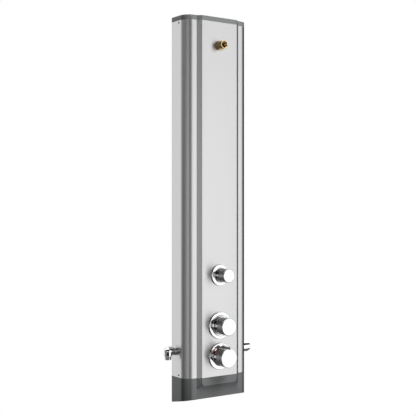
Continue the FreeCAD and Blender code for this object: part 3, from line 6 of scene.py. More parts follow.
import json
import math
from contextlib import contextmanager

import bmesh
import bpy
from mathutils import Matrix, Vector


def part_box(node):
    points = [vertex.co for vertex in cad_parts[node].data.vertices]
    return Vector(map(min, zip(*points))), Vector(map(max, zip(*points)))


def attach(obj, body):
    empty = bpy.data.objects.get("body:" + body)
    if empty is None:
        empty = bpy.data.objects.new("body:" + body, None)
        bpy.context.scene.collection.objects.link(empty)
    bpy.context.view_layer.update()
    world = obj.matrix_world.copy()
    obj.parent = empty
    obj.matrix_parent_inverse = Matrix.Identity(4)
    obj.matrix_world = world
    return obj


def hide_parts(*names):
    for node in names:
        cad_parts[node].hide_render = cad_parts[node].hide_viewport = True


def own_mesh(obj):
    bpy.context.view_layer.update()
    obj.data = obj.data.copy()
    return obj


bl_info = {
    "name": "Shower panel column",
    "version": (1, 0, 0),
    "blender": (4, 5, 0),
    "location": "View3D > Sidebar > Shower panel",
    "description": "Dresses the shower panel column and sets up its studio",
    "category": "Object",
}

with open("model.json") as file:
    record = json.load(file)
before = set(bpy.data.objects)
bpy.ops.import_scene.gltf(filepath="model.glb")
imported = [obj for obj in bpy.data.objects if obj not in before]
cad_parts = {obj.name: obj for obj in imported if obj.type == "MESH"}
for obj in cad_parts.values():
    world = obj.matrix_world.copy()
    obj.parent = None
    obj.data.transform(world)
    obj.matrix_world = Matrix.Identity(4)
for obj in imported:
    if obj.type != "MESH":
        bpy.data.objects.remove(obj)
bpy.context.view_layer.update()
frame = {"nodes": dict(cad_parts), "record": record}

MM = 0.001
NEAR = 1e-5
PAST = 0.01     # how far a cutter reaches past what it cuts, in metres
FINE, ROUND = 160, 128     # sides of the knobs and plates, and of the smaller turned pieces
PANEL = "panel"

HOUSING_LOW, HOUSING_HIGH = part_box("housing_profile")
LID_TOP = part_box("top_cap")[1].z
FRONT_Y = HOUSING_LOW.y
HALF_WIDTH = HOUSING_HIGH.x

# heights and places of the fittings, in millimetres
THERMOSTAT_Z, BUTTON_Z, DIVERTER_Z, OUTLET_Z = 143.5, 239.5, 396.5, 1112
ELBOW_Z, HOLDER_Z, SIDE_Y = 163.5, 152.5, -22.5
LOCK_Y, LOCK_INSET = -40, 7
# crest radius and pitch of a half-inch pipe thread
PIPE, PITCH = 10.48, 1.814
CORNER_PORT, CENTRE_PORT = (106.18, -66.68), (58.6, -84.5)


# ---------------------------------------------------------------- settings

def length(name, description, millimetres):
    return bpy.props.FloatProperty(
        name=name, description=description, default=millimetres * MM,
        min=0.0, unit="LENGTH", subtype="DISTANCE", precision=4)


def colour(name, description, *rgb):
    return bpy.props.FloatVectorProperty(
        name=name, description=description, default=rgb, size=3,
        min=0.0, max=1.0, subtype="COLOR")


def amount(name, description, default, high=1.0):
    return bpy.props.FloatProperty(
        name=name, description=description, default=default, min=0.0, max=high, subtype="FACTOR")


class PanelSizes(bpy.types.PropertyGroup):
    """Sizes of the extrusion and its two caps."""

    shoulder: length("Shoulder depth", "Wall to the flat shoulder of the front", 80)
    centre_width: length("Centre width", "Width of the flat centre strip", 133.2)
    chamfer_run: length("Chamfer width", "Width of the slope beside the centre strip", 13.3)
    corner_radius: length("Corner radius", "Radius of the front corners", 31)
    skin: length("Skin", "Wall thickness of the extrusion and the caps", 2.5)
    crease: length("Crease", "Rounding of the creases beside the centre strip", 0.5)
    rim_round: length("Rim rounding", "Rounding of the caps' outer rims", 0.6)
    face_drop: length("Face end", "Height of the centre face in the bottom cap", 25)
    slope_drop: length("Slope end", "Height of the slope under the centre face", 25)
    face_round: length("Face corner", "Lower corner radius of the centre face", 12)
    slope_round: length("Slope corner", "Lower corner radius of the slope's foot", 22)
    floor_rise: length("Floor rise", "Rise of the bottom cap's floor up to the shoulder", 15.7)


class ControlSizes(bpy.types.PropertyGroup):
    """Sizes of the knobs, the button and their escutcheons."""

    thermostat_radius: length("Thermostat knob", "Radius of the thermostat knob", 30)
    button_radius: length("Timed button", "Radius of the self-closing button", 27.5)
    diverter_radius: length("Diverter knob", "Radius of the diverter knob", 21.5)
    reach: length("Reach", "Panel face to the front of the knobs", 51)
    rim_round: length("Front rounding", "Rounding of the knobs' front rims", 2.4)
    mark_radius: length("Mark radius", "Radius of the coloured arcs on the thermostat's plate", 36)
    mark_width: length("Mark width", "Width of the coloured arcs", 2.2)


class Finish(bpy.types.PropertyGroup):
    """Colours of the metals, mouldings and marks."""

    aluminium: colour("Aluminium", "Satin anodised extrusion", 0.43, 0.43, 0.433)
    cap_grey: colour("Cap grey", "Moulded end caps", 0.054, 0.055, 0.056)
    chrome: colour("Chrome", "Knobs, plates, elbow and cradle", 0.57, 0.572, 0.577)
    brass: colour("Brass", "Shower-head outlet and the valves inside", 0.60, 0.45, 0.22)
    copper: colour("Copper", "Pipes inside", 0.82, 0.42, 0.28)
    steel: colour("Steel", "Brackets, screws and springs", 0.62, 0.62, 0.63)
    button_grey: colour("Button grey", "Stop button on the thermostat knob", 0.11, 0.11, 0.10)
    hot_mark: colour("Hot mark", "Arc towards hot", 0.20, 0.06, 0.055)
    cold_mark: colour("Cold mark", "Arc towards cold", 0.22, 0.22, 0.32)
    satin: amount("Satin", "Roughness of the extrusion", 0.33)
    polish: amount("Polish", "Roughness of the chrome", 0.05)


class Studio(bpy.types.PropertyGroup):
    """Camera, backdrop and floor."""

    eye: bpy.props.FloatVectorProperty(
        name="Camera", description="Place of the camera", default=(-1.657, -2.377, 0.615),
        size=3, subtype="TRANSLATION", unit="LENGTH")
    turn: bpy.props.FloatProperty(
        name="Turn", description="Turn of the camera to the right of +Y",
        default=math.radians(35.19), unit="ROTATION", subtype="ANGLE")
    lens: bpy.props.FloatProperty(
        name="Lens", description="Focal length of the camera in millimetres", default=78.32)
    floor_drop: length("Floor drop", "How far the floor lies under the panel", 900)
    floor_size: length("Floor size", "Width of the floor", 4400)
    floor_colour: colour("Floor", "Pale floor", 0.85, 0.85, 0.84)
    brightness: amount("Brightness", "Strength of the studio's light", 1.65, 4.0)


SETTINGS = (("shower_panel_sizes", PanelSizes), ("shower_control_sizes", ControlSizes),
            ("shower_finish", Finish), ("shower_studio", Studio))


# ---------------------------------------------------------------- node trees

class Value:
    """A number, colour or vector on its way through a node tree."""

    def __init__(self, graph, socket):
        self.graph = graph
        self.socket = socket

    def maths(self, operation, *others):
        inputs = dict(enumerate((self,) + others))
        return self.graph.add("ShaderNodeMath", {"operation": operation}, inputs)

    def swapped(self, operation, other):
        return self.graph.add("ShaderNodeMath", {"operation": operation}, {0: other, 1: self})

    def __add__(self, other):
        return self.maths("ADD", other)

    __radd__ = __add__

    def __sub__(self, other):
        return self.maths("SUBTRACT", other)

    def __rsub__(self, other):
        return self.swapped("SUBTRACT", other)

    def __mul__(self, other):
        return self.maths("MULTIPLY", other)

    __rmul__ = __mul__

    def __truediv__(self, other):
        return self.maths("DIVIDE", other)

    def __neg__(self):
        return self * -1.0

    def __abs__(self):
        return self.maths("ABSOLUTE")

    def held(self):
        """The value held between 0 and 1."""
        return self.graph.add("ShaderNodeClamp", {}, {"Value": self})


class Graph:
    """A node tree that is written as expressions."""

    def __init__(self, tree):
        self.tree = tree
        tree.nodes.clear()

    def add(self, kind, settings, inputs, output=0):
        """Add a node with its settings first and then the values or links of its sockets."""
        node = self.tree.nodes.new(kind)
        for name, setting in settings.items():
            if name == "stops":
                self.fill_ramp(node.color_ramp, setting)
            else:
                setattr(node, name, setting)
        for name, value in inputs.items():
            if isinstance(value, Value):
                self.tree.links.new(value.socket, node.inputs[name])
            else:
                node.inputs[name].default_value = value
        return Value(self, node.outputs[output]) if node.outputs else None

    def fill_ramp(self, ramp, stops):
        while len(ramp.elements) < len(stops):
            ramp.elements.new(1.0)
        for element, (position, level) in zip(ramp.elements, stops):
            element.position = position
            element.color = level if isinstance(level, tuple) else (level, level, level, 1.0)

    def place(self):
        """The place on the piece, in metres."""
        return self.add("ShaderNodeTexCoord", {}, {}, "Object")

    def axes(self, vector):
        split = self.add("ShaderNodeSeparateXYZ", {}, {0: vector})
        return [Value(self, socket) for socket in split.socket.node.outputs]

    def stretched(self, vector, scale, centre=(0.0, 0.0, 0.0)):
        shift = [-c * s for c, s in zip(centre, scale)]
        return self.add("ShaderNodeMapping", {}, {"Vector": vector, "Location": shift,
                                                  "Scale": scale})

    def noise(self, vector, scale, detail=2.0, roughness=0.5):
        return self.add("ShaderNodeTexNoise", {},
                        {"Vector": vector, "Scale": scale, "Detail": detail,
                         "Roughness": roughness})

    def blended(self, factor, first, second):
        """One colour over another, through the colour sockets of the Mix node."""
        return self.add("ShaderNodeMix", {"data_type": "RGBA"},
                        {0: factor, 6: first, 7: second}, 2)

    def bump(self, height, distance, strength=1.0):
        return self.add("ShaderNodeBump", {},
                        {"Height": height, "Distance": distance, "Strength": strength})


def opaque(rgb, level=1.0):
    return (rgb[0] * level, rgb[1] * level, rgb[2] * level, 1.0)


def surface(name):
    """A new material, its graph and the place on the piece."""
    material = bpy.data.materials.new(name)
    material.use_nodes = True
    graph = Graph(material.node_tree)
    return material, graph, graph.place()


def finished(graph, **inputs):
    """Close a graph with the main shader. Names use underscores for spaces."""
    named = {name.replace("_", " "): value for name, value in inputs.items()}
    shader = graph.add("ShaderNodeBsdfPrincipled", {}, named)
    graph.add("ShaderNodeOutputMaterial", {"is_active_output": True}, {"Surface": shader})


# ---------------------------------------------------------------- finishes

def satin_aluminium(finish):
    """Anodised extrusion: faint drawing lines along its length and a soft sheen."""
    material, graph, at = surface("satin_aluminium")
    lines = graph.noise(graph.stretched(at, (1400.0, 1400.0, 9.0)), 1.0, 3.0)
    cloud = graph.noise(graph.stretched(at, (6.0, 6.0, 2.0)), 1.0, 2.0)
    grain = graph.noise(at, 2600.0, 1.0)
    tone = graph.blended((lines * 0.5 + cloud * 0.5).held(),
                      opaque(finish.aluminium, 0.97), opaque(finish.aluminium, 1.02))
    finished(graph, Base_Color=tone, Metallic=1.0,
             Roughness=finish.satin + (lines - 0.5) * 0.06 + (cloud - 0.5) * 0.03,
             Anisotropic=0.75, Anisotropic_Rotation=0.25,
             Normal=graph.bump(lines * 0.7 + grain * 0.3, 0.00001, 0.25))
    return material


def moulded_grey(finish):
    """End caps: fine spark-eroded grain on a dark grey moulding."""
    material, graph, at = surface("moulded_grey")
    grain = graph.noise(at, 1700.0, 3.0, 0.6)
    cloud = graph.noise(at, 14.0, 2.0)
    tone = graph.blended((grain * 0.6 + cloud * 0.4).held(),
                      opaque(finish.cap_grey, 0.9), opaque(finish.cap_grey, 1.1))
    finished(graph, Base_Color=tone, Metallic=0.6, Roughness=0.30 + (cloud - 0.5) * 0.06,
             Anisotropic=0.75, Anisotropic_Rotation=0.25,
             Normal=graph.bump(grain, 0.00003, 0.3))
    return material


def polished_chrome(finish):
    """Chrome plate with the faintest wipe marks."""
    material, graph, at = surface("polished_chrome")
    smear = graph.noise(at, 45.0, 3.0, 0.6)
    ripple = graph.noise(at, 160.0, 1.0)
    finished(graph, Base_Color=opaque(finish.chrome), Metallic=1.0,
             Roughness=finish.polish + (smear - 0.45).maths("MAXIMUM", 0.0) * 0.12,
             Normal=graph.bump(ripple, 0.00001, 0.10))
    return material


def marked_chrome(finish, sizes):
    """The thermostat's plate: chrome with a printed arc towards hot and one towards cold."""
    material, graph, at = surface("marked_chrome")
    smear = graph.noise(at, 45.0, 3.0, 0.6)
    x, _, z = graph.axes(at)
    rise = z - THERMOSTAT_Z * MM
    radius = (x * x + rise * rise).maths("SQRT")
    angle = x.maths("ARCTAN2", rise)
    soft = 0.1 * MM
    band = ((sizes.mark_width / 2 - abs(radius - sizes.mark_radius)) / soft).held()

    def arc(first, last):
        low, high = sorted((math.radians(first), math.radians(last)))
        inside = (high - low) / 2 - abs(angle - (low + high) / 2)
        return (inside * (sizes.mark_radius / soft)).held() * band

    hot = arc(-66.0, -10.0)
    cold = arc(10.0, 96.0)
    warm = arc(-79.0, -75.0)
    tone = graph.blended(hot + warm, opaque(finish.chrome), opaque(finish.hot_mark))
    tone = graph.blended(cold, tone, opaque(finish.cold_mark))
    ink = (hot + cold + warm).held()
    finished(graph, Base_Color=tone, Metallic=1.0 - ink,
             Roughness=finish.polish + (smear - 0.45).maths("MAXIMUM", 0.0) * 0.12 + ink * 0.25)
    return material


def turned_brass(finish):
    """Bare machined brass with turning marks across its axis."""
    material, graph, at = surface("turned_brass")
    marks = graph.noise(graph.stretched(at, (60.0, 5200.0, 60.0)), 1.0, 2.0)
    stain = graph.noise(at, 220.0, 3.0, 0.6)
    tone = graph.blended(stain, opaque(finish.brass, 0.86), opaque(finish.brass, 1.06))
    finished(graph, Base_Color=tone, Metallic=1.0, Roughness=0.17 + stain * 0.12,
             Normal=graph.bump(marks, 0.00002, 0.35))
    return material


def cast_brass(finish):
    """Valve bodies inside: rougher castings, slightly dulled."""
    material, graph, at = surface("cast_brass")
    skin = graph.noise(at, 420.0, 4.0, 0.6)
    stain = graph.noise(at, 60.0, 3.0)
    tone = graph.blended(stain, opaque(finish.brass, 0.6), opaque(finish.brass, 0.85))
    finished(graph, Base_Color=tone, Metallic=1.0, Roughness=0.34 + stain * 0.16,
             Normal=graph.bump(skin, 0.00008, 0.4))
    return material


def drawn_copper(finish):
    """Copper pipe with darker patches and faint drawing lines."""
    material, graph, at = surface("drawn_copper")
    stain = graph.noise(at, 38.0, 4.0, 0.6)
    lines = graph.noise(graph.stretched(at, (900.0, 900.0, 12.0)), 1.0, 2.0)
    tone = graph.blended(stain, opaque(finish.copper, 0.62), opaque(finish.copper, 1.0))
    finished(graph, Base_Color=tone, Metallic=1.0, Roughness=0.24 + stain * 0.2,
             Normal=graph.bump(lines, 0.00001, 0.3))
    return material


def stainless(finish):
    """Brackets, screws and springs."""
    material, graph, at = surface("stainless")
    lines = graph.noise(graph.stretched(at, (30.0, 30.0, 2200.0)), 1.0, 3.0)
    finished(graph, Base_Color=opaque(finish.steel), Metallic=1.0,
             Roughness=0.28 + lines * 0.14, Normal=graph.bump(lines, 0.00001, 0.3))
    return material


def moulding(name, rgb, roughness, scale=900.0):
    """A small moulded, rubber or blackened piece."""
    material, graph, at = surface(name)
    grain = graph.noise(at, scale, 3.0, 0.6)
    tone = graph.blended(grain, opaque(rgb, 0.85), opaque(rgb, 1.15))
    finished(graph, Base_Color=tone, Roughness=roughness + (grain - 0.5) * 0.1,
             Normal=graph.bump(grain, 0.00002, 0.3))
    return material


def button_moulding(finish):
    """The stop button: smooth grey with a black front end."""
    material, graph, at = surface("button_moulding")
    _, y, _ = graph.axes(at)
    grain = graph.noise(at, 900.0, 2.0)
    front = FRONT_Y - 48.2 * MM
    tip = ((front - y) / (0.3 * MM)).held()
    tone = graph.blended(tip, opaque(finish.button_grey), (0.012, 0.012, 0.012, 1.0))
    finished(graph, Base_Color=tone, Roughness=0.3 + (grain - 0.5) * 0.08,
             Normal=graph.bump(grain, 0.00001, 0.2))
    return material


FINISHES = {}
METALS = {"satin_aluminium": satin_aluminium, "grey_cap": moulded_grey, "chrome": polished_chrome,
          "outlet_brass": turned_brass, "brass": cast_brass, "copper": drawn_copper,
          "steel": stainless, "grey_button": button_moulding}
MOULDINGS = {"black_plastic": ("black_moulding", (0.012, 0.012, 0.012), 0.4),
             "black_steel": ("blackened_steel", (0.01, 0.01, 0.01), 0.35, 500.0),
             "pale_plastic": ("pale_moulding", (0.72, 0.71, 0.68), 0.4),
             "rubber": ("sealing_rubber", (0.015, 0.015, 0.015), 0.7, 400.0)}


def finish_of(name):
    """The material of a finish, made once."""
    scene = bpy.context.scene
    if name not in FINISHES:
        if name in MOULDINGS:
            FINISHES[name] = moulding(*MOULDINGS[name])
        elif name == "marked_chrome":
            FINISHES[name] = marked_chrome(scene.shower_finish, scene.shower_control_sizes)
        else:
            FINISHES[name] = METALS[name](scene.shower_finish)
    return FINISHES[name]


# ---------------------------------------------------------------- modelling

def nothing_selected():
    if bpy.context.object and bpy.context.object.mode != "OBJECT":
        bpy.ops.object.mode_set(mode="OBJECT")
    bpy.ops.object.select_all(action="DESELECT")


def only(piece):
    nothing_selected()
    piece.select_set(True)
    bpy.context.view_layer.objects.active = piece


def settle():
    """Put the active piece's place, turn and scale into its mesh."""
    bpy.ops.object.transform_apply(location=True, rotation=True, scale=True)


def take_all():
    bpy.ops.mesh.select_all(action="SELECT")


def turn_outwards():
    """Turn every face of the piece that is being edited outwards."""
    take_all()
    bpy.ops.mesh.normals_make_consistent(inside=False)


@contextmanager
def editing(piece, kind="VERT"):
    """Edit mode on one piece."""
    only(piece)
    bpy.ops.object.mode_set(mode="EDIT")
    bpy.ops.mesh.select_mode(type=kind)
    yield
    bpy.ops.object.mode_set(mode="OBJECT")


def choose(piece, kind, wanted):
    """Select the points, edges or faces that a test accepts."""
    bpy.ops.mesh.select_all(action="DESELECT")
    bpy.ops.mesh.select_mode(type=kind)
    mesh = bmesh.from_edit_mesh(piece.data)
    items = {"VERT": mesh.verts, "EDGE": mesh.edges, "FACE": mesh.faces}[kind]
    count = 0
    for item in items:
        if wanted(item):
            item.select_set(True)
            count += 1
    mesh.select_flush_mode()
    bmesh.update_edit_mesh(piece.data)
    if not count:
        raise RuntimeError(f"nothing to select on {piece.name}")


def both_ends(edge, test):
    return test(edge.verts[0].co) and test(edge.verts[1].co)


def lies(edge, axis, level):
    """Whether an edge lies in a plane across one axis."""
    return both_ends(edge, lambda co: abs(co["xyz".index(axis)] - level) < NEAR)


def primitive(name, kind, **settings):
    """Add one of Blender's primitives, with its place in its mesh."""
    nothing_selected()
    getattr(bpy.ops.mesh, f"primitive_{kind}_add")(**settings)
    piece = bpy.context.object
    piece.name = name
    only(piece)
    settle()
    return piece


def box_piece(name, low, high):
    """A box between two corners, with its place in its mesh."""
    low, high = Vector(low), Vector(high)
    return primitive(name, "cube", size=1.0, location=(low + high) / 2, scale=high - low)


def eased(profile, steps=4):
    """Replace each corner (radius, height, round) of a profile by a short arc."""
    points = []
    count = len(profile)
    for i, corner in enumerate(profile):
        here = Vector(corner[:2])
        if len(corner) < 3:
            points.append(here)
            continue
        before, after = Vector(profile[i - 1][:2]), Vector(profile[(i + 1) % count][:2])
        into, out = (before - here).normalized(), (after - here).normalized()
        half = math.acos(max(-1.0, min(1.0, into.dot(out)))) / 2
        trim = min(corner[2] / math.tan(half), (before - here).length * 0.49,
                   (after - here).length * 0.49)
        reach = trim * math.tan(half)
        centre = here + (into + out).normalized() * (reach / math.sin(half))
        first, last = here + into * trim - centre, here + out * trim - centre
        for step in range(steps + 1):
            share = step / steps
            ray = (first * (1 - share) + last * share).normalized()
            points.append(centre + ray * reach)
    return points


def turned(name, profile, segments=128):
    """Turn a profile of (radius, height[, round]) in millimetres about Z, ring by ring."""
    points = eased(profile)
    solid = points[0].x < NEAR
    if solid:
        points = points[1:]
    ends_solid = points[-1].x < NEAR
    if ends_solid:
        points = points[:-1]
    first = points[0]
    piece = primitive(name, "circle", vertices=segments, radius=first.x * MM,
                      fill_type="NGON" if solid else "NOTHING",
                      location=(0.0, 0.0, first.y * MM))
    with editing(piece, "EDGE"):
        take_all()
        ring = list(points[1:]) + ([] if ends_solid else [first])
        at = first
        for point in ring:
            bpy.ops.mesh.extrude_edges_move(
                TRANSFORM_OT_translate={"value": (0.0, 0.0, (point.y - at.y) * MM)})
            share = point.x / at.x
            bpy.ops.transform.resize(value=(share, share, 1.0), center_override=(0.0, 0.0, 0.0))
            at = point
        if ends_solid:
            bpy.ops.mesh.edge_face_add()
        take_all()
        bpy.ops.mesh.remove_doubles(threshold=1e-7)
        bpy.ops.mesh.normals_make_consistent(inside=False)
    return piece


def combined(piece, other, operation):
    """Cut, join or cross one closed piece with another, which is used up."""
    only(piece)
    modifier = piece.modifiers.new("combine", "BOOLEAN")
    modifier.operation = operation
    modifier.solver = "EXACT"
    modifier.object = other
    bpy.ops.object.modifier_apply(modifier=modifier.name)
    bpy.data.objects.remove(other, do_unlink=True)
    if not piece.data.polygons:
        raise RuntimeError(f"{piece.name} was lost")
    return piece


def carved(piece, *cutters):
    for cutter in cutters:
        combined(piece, cutter, "DIFFERENCE")
    return piece


def joined(piece, *others):
    for other in others:
        combined(piece, other, "UNION")
    return piece


def gathered(piece, *others):
    """Put separate closed forms into one piece."""
    only(piece)
    for other in others:
        other.select_set(True)
    bpy.ops.object.join()
    return piece


def walled(piece, thickness):
    """Give an open shell its thickness, inwards."""
    only(piece)
    modifier = piece.modifiers.new("wall", "SOLIDIFY")
    modifier.thickness = thickness
    modifier.offset = -1.0
    modifier.use_even_offset = True
    bpy.ops.object.modifier_apply(modifier=modifier.name)
    return piece


def softened(piece, width, segments=2, angle=40.0):
    """Break the sharp edges of a piece."""
    only(piece)
    modifier = piece.modifiers.new("soften", "BEVEL")
    modifier.width = width
    modifier.segments = segments
    modifier.limit_method = "ANGLE"
    modifier.angle_limit = math.radians(angle)
    modifier.use_clamp_overlap = True
    bpy.ops.object.modifier_apply(modifier=modifier.name)
    return piece


INTO_ROOM = Matrix.Rotation(math.radians(90.0), 4, "X")
RIGHT = Matrix.Rotation(math.radians(90.0), 4, "Y")
LEFT = Matrix.Rotation(math.radians(-90.0), 4, "Y")
DOWN = Matrix.Rotation(math.radians(180.0), 4, "X")
UP = Matrix.Identity(4)


def moved(piece, at, turn=UP):
    """Face a piece another way and put it at a place in millimetres, inside its mesh."""
    piece.matrix_world = Matrix.Translation(Vector(at) * MM) @ turn
    only(piece)
    settle()
    return piece


def on_front(piece, height):
    return moved(piece, (0.0, FRONT_Y / MM, height), INTO_ROOM)


def dressed(piece, body, node, finish="chrome", angle=32.0):
    """Smooth a finished piece, give it its finish and say what it stands for."""
    only(piece)
    bpy.ops.object.shade_smooth_by_angle(angle=math.radians(angle))
    piece.data.materials.clear()
    piece.data.materials.append(finish_of(finish))
    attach(piece, body)
    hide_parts(node)
    return piece


class Step:
    """What every operator of this script has in common."""

    bl_options = {"REGISTER", "UNDO"}


# ---------------------------------------------------------------- extrusion and caps

def front_block(name, low, high, sizes, inset=0.0, crowned=True):
    """The panel's outer form between two heights: round corners and the raised centre strip."""
    half, front = HALF_WIDTH - inset, sizes.shoulder - inset
    piece = box_piece(name, (-half, -front, low), (half, 0.0, high))
    with editing(piece, "EDGE"):
        choose(piece, "EDGE", lambda edge: lies(edge, "y", -front) and
               abs(edge.verts[0].co.x - edge.verts[1].co.x) < NEAR)
        bpy.ops.mesh.bevel(offset=sizes.corner_radius - inset, segments=20, affect="EDGES")
        if crowned:
            crown(piece, sizes, front)
    return piece


def inner_block(name, low, high, sizes):
    """The form inside the skin, pulled out through the back, as a cutter."""
    hollow = front_block(name, low, high, sizes, sizes.skin, False)
    with editing(hollow):
        choose(hollow, "VERT", lambda point: abs(point.co.y) < NEAR)
        bpy.ops.transform.translate(value=(0.0, PAST, 0.0))
    return hollow


def crown(piece, sizes, front):
    """Raise the centre strip and soften its creases."""
    foot = sizes.centre_width / 2 + sizes.chamfer_run
    for side in (-1.0, 1.0):
        take_all()
        bpy.ops.mesh.bisect(plane_co=(side * foot, 0.0, 0.0), plane_no=(1.0, 0.0, 0.0))
    choose(piece, "FACE", lambda face: face.normal.y < -0.99
           and abs(face.calc_center_median().y + front) < NEAR
           and abs(face.calc_center_median().x) < foot)
    raise_by = -FRONT_Y - front
    bpy.ops.mesh.extrude_region_move(TRANSFORM_OT_translate={"value": (0.0, -raise_by, 0.0)})
    bpy.ops.transform.resize(value=(sizes.centre_width / 2 / foot, 1.0, 1.0),
                             center_override=(0.0, 0.0, 0.0))
    creases = ((sizes.centre_width / 2, FRONT_Y), (foot, -front))
    for x, y in creases:
        choose(piece, "EDGE", lambda edge: both_ends(
            edge, lambda co: abs(abs(co.x) - x) < NEAR and abs(co.y - y) < NEAR)
            and abs(edge.verts[0].co.z - edge.verts[1].co.z) > NEAR)
        bpy.ops.mesh.bevel(offset=sizes.crease, segments=4, affect="EDGES")


def opened(piece, wanted):
    """Take away the faces that a test accepts."""
    with editing(piece, "FACE"):
        choose(piece, "FACE", wanted)
        bpy.ops.mesh.delete(type="FACE")
    return piece


def drill(radius, start, end, at, turn):
    """A round cutter between two distances along a turned axis, in millimetres."""
    return moved(turned("drill", [(0, start), (radius, start), (radius, end), (0, end)], 64),
                 at, turn)


def slot_cutter(height):
    """Cutter for the slots of the locking screws, through both sides."""
    width, span = 4.4, 8.5
    reach = HALF_WIDTH / MM + 2.0
    cutter = turned("slot", [(0, -reach), (width / 2, -reach), (width / 2, reach), (0, reach)], 48)
    with editing(cutter):
        for side in (-1.0, 1.0):
            choose(cutter, "VERT", lambda point: point.co.y * side > NEAR)
            bpy.ops.transform.translate(value=(0.0, side * (span - width) / 2 * MM, 0.0))
    return moved(cutter, (0.0, LOCK_Y, height), RIGHT)


class SHOWER_OT_housing(Step, bpy.types.Operator):
    """Add the aluminium extrusion with its screw ports, holes and slots."""

    bl_idname = "shower.housing"
    bl_label = "Extrusion"

    def execute(self, context):
        sizes = context.scene.shower_panel_sizes
        low, high = HOUSING_LOW.z, HOUSING_HIGH.z
        housing = front_block("extrusion", low, high, sizes)
        opened(housing, lambda face: abs(face.normal.z) > 0.9 or face.normal.y > 0.9)
        walled(housing, sizes.skin)
        for height in (high / MM - LOCK_INSET, low / MM + LOCK_INSET):
            carved(housing, slot_cutter(height))
        for height, radius in ((THERMOSTAT_Z, 19.3), (BUTTON_Z, 17.3), (DIVERTER_Z, 15.3),
                               (OUTLET_Z, 10.78)):
            carved(housing, drill(radius, -6.0, 6.0, (0.0, FRONT_Y / MM, height), INTO_ROOM))
        for side, height, radius in ((-1.0, ELBOW_Z, 10.78), (1.0, HOLDER_Z, 5.3)):
            carved(housing, drill(radius, -6.0, 6.0, (side * HALF_WIDTH / MM, SIDE_Y, height),
                                  RIGHT))
        ports = []
        for x, y in (CORNER_PORT, CENTRE_PORT):
            for side in (-1.0, 1.0):
                port = turned("port", [(1.9, low / MM), (4.5, low / MM), (4.5, high / MM),
                                       (1.9, high / MM)], 32)
                ports.append(moved(port, (side * x, y, 0.0)))
        gathered(housing, *ports)
        dressed(housing, PANEL, "housing_profile", "satin_aluminium")
        return {"FINISHED"}


class SHOWER_OT_lid(Step, bpy.types.Operator):
    """Add the shallow grey cap on top of the panel."""

    bl_idname = "shower.lid"
    bl_label = "Top cap"

    def execute(self, context):
        sizes = context.scene.shower_panel_sizes
        lid = front_block("top_lid", HOUSING_HIGH.z, LID_TOP, sizes)
        with editing(lid, "EDGE"):
            take_all()
            bpy.ops.mesh.dissolve_limited(angle_limit=0.001)
            choose(lid, "EDGE", lambda edge: lies(edge, "z", LID_TOP)
                   and edge.calc_face_angle(0.0) > 0.5 and not lies(edge, "y", 0.0))
            bpy.ops.mesh.bevel(offset=sizes.rim_round, segments=3, affect="EDGES")
        skin = sizes.skin
        hollow = inner_block("lid_hollow", HOUSING_HIGH.z - PAST, LID_TOP - skin, sizes)
        half = sizes.centre_width / 2
        pocket = box_piece("lid_pocket", (-half, FRONT_Y + skin, HOUSING_HIGH.z - 0.012),
                           (half, -0.03, LID_TOP - skin - 0.1 * MM))
        carved(lid, hollow, pocket)
        top = LID_TOP / MM
        pillars = []
        for x, y in (CORNER_PORT, CENTRE_PORT):
            for side in (-1.0, 1.0):
                at = (side * x, y, 0.0)
                carved(lid, moved(turned("sink", [
                    (0, top - 6), (2.2, top - 6), (2.2, top - 2), (4.3, top + 0.1),
                    (0, top + 0.1)], 48), at))
                pillars.append(moved(turned("pillar", [
                    (2.2, HOUSING_HIGH.z / MM), (4.5, HOUSING_HIGH.z / MM), (4.5, top - 2.7),
                    (2.2, top - 2.7)], 32), at))
        gathered(lid, *pillars)
        dressed(lid, PANEL, "top_cap", "grey_cap")
        return {"FINISHED"}


def strip_outline(y, half, low, high, radius):
    """One end of the loft under the raised strip, as a flat face in the plane of the front."""
    outline = primitive("strip_outline", "plane", size=1.0)
    outline.matrix_world = (Matrix.Translation((0.0, y, (low + high) / 2)) @ INTO_ROOM
                            @ Matrix.Diagonal((2 * half, high - low, 1.0, 1.0)))
    settle()
    with editing(outline):
        choose(outline, "VERT", lambda point: abs(point.co.z - low) < NEAR)
        bpy.ops.mesh.bevel(offset=radius, segments=14, affect="VERTICES")
        choose(outline, "FACE", lambda face: True)
        bpy.ops.mesh.delete(type="ONLY_FACE")
    return outline


def strip_end(sizes):
    """The rounded lower end of the raised strip, sunk a little into the shoulder."""
    top, sunk = HOUSING_LOW.z, 1.5 * MM
    centre_raise = -FRONT_Y - sizes.shoulder
    share = sunk / centre_raise
    face_low = top - sizes.face_drop
    foot = sizes.centre_width / 2 + sizes.chamfer_run * (1 + share)
    growth = sizes.slope_round - sizes.face_round
    base = strip_outline(-sizes.shoulder + sunk, foot,
                         face_low - sizes.slope_drop * (1 + share), top,
                         sizes.face_round + growth * (1 + share))
    face = strip_outline(FRONT_Y, sizes.centre_width / 2, face_low, top, sizes.face_round)
    gathered(base, face)
    with editing(base, "EDGE"):
        take_all()
        bpy.ops.mesh.bridge_edge_loops()
        take_all()
        bpy.ops.mesh.fill_holes(sides=0)
        turn_outwards()
    return base


def floor_cut(piece, sizes, lift):
    """Cut a piece off along the slanted floor."""
    with editing(piece, "FACE"):
        take_all()
        bpy.ops.mesh.bisect(plane_co=(0.0, 0.0, lift),
                            plane_no=(0.0, sizes.floor_rise, sizes.shoulder),
                            clear_inner=True, use_fill=True)
        turn_outwards()
    return piece


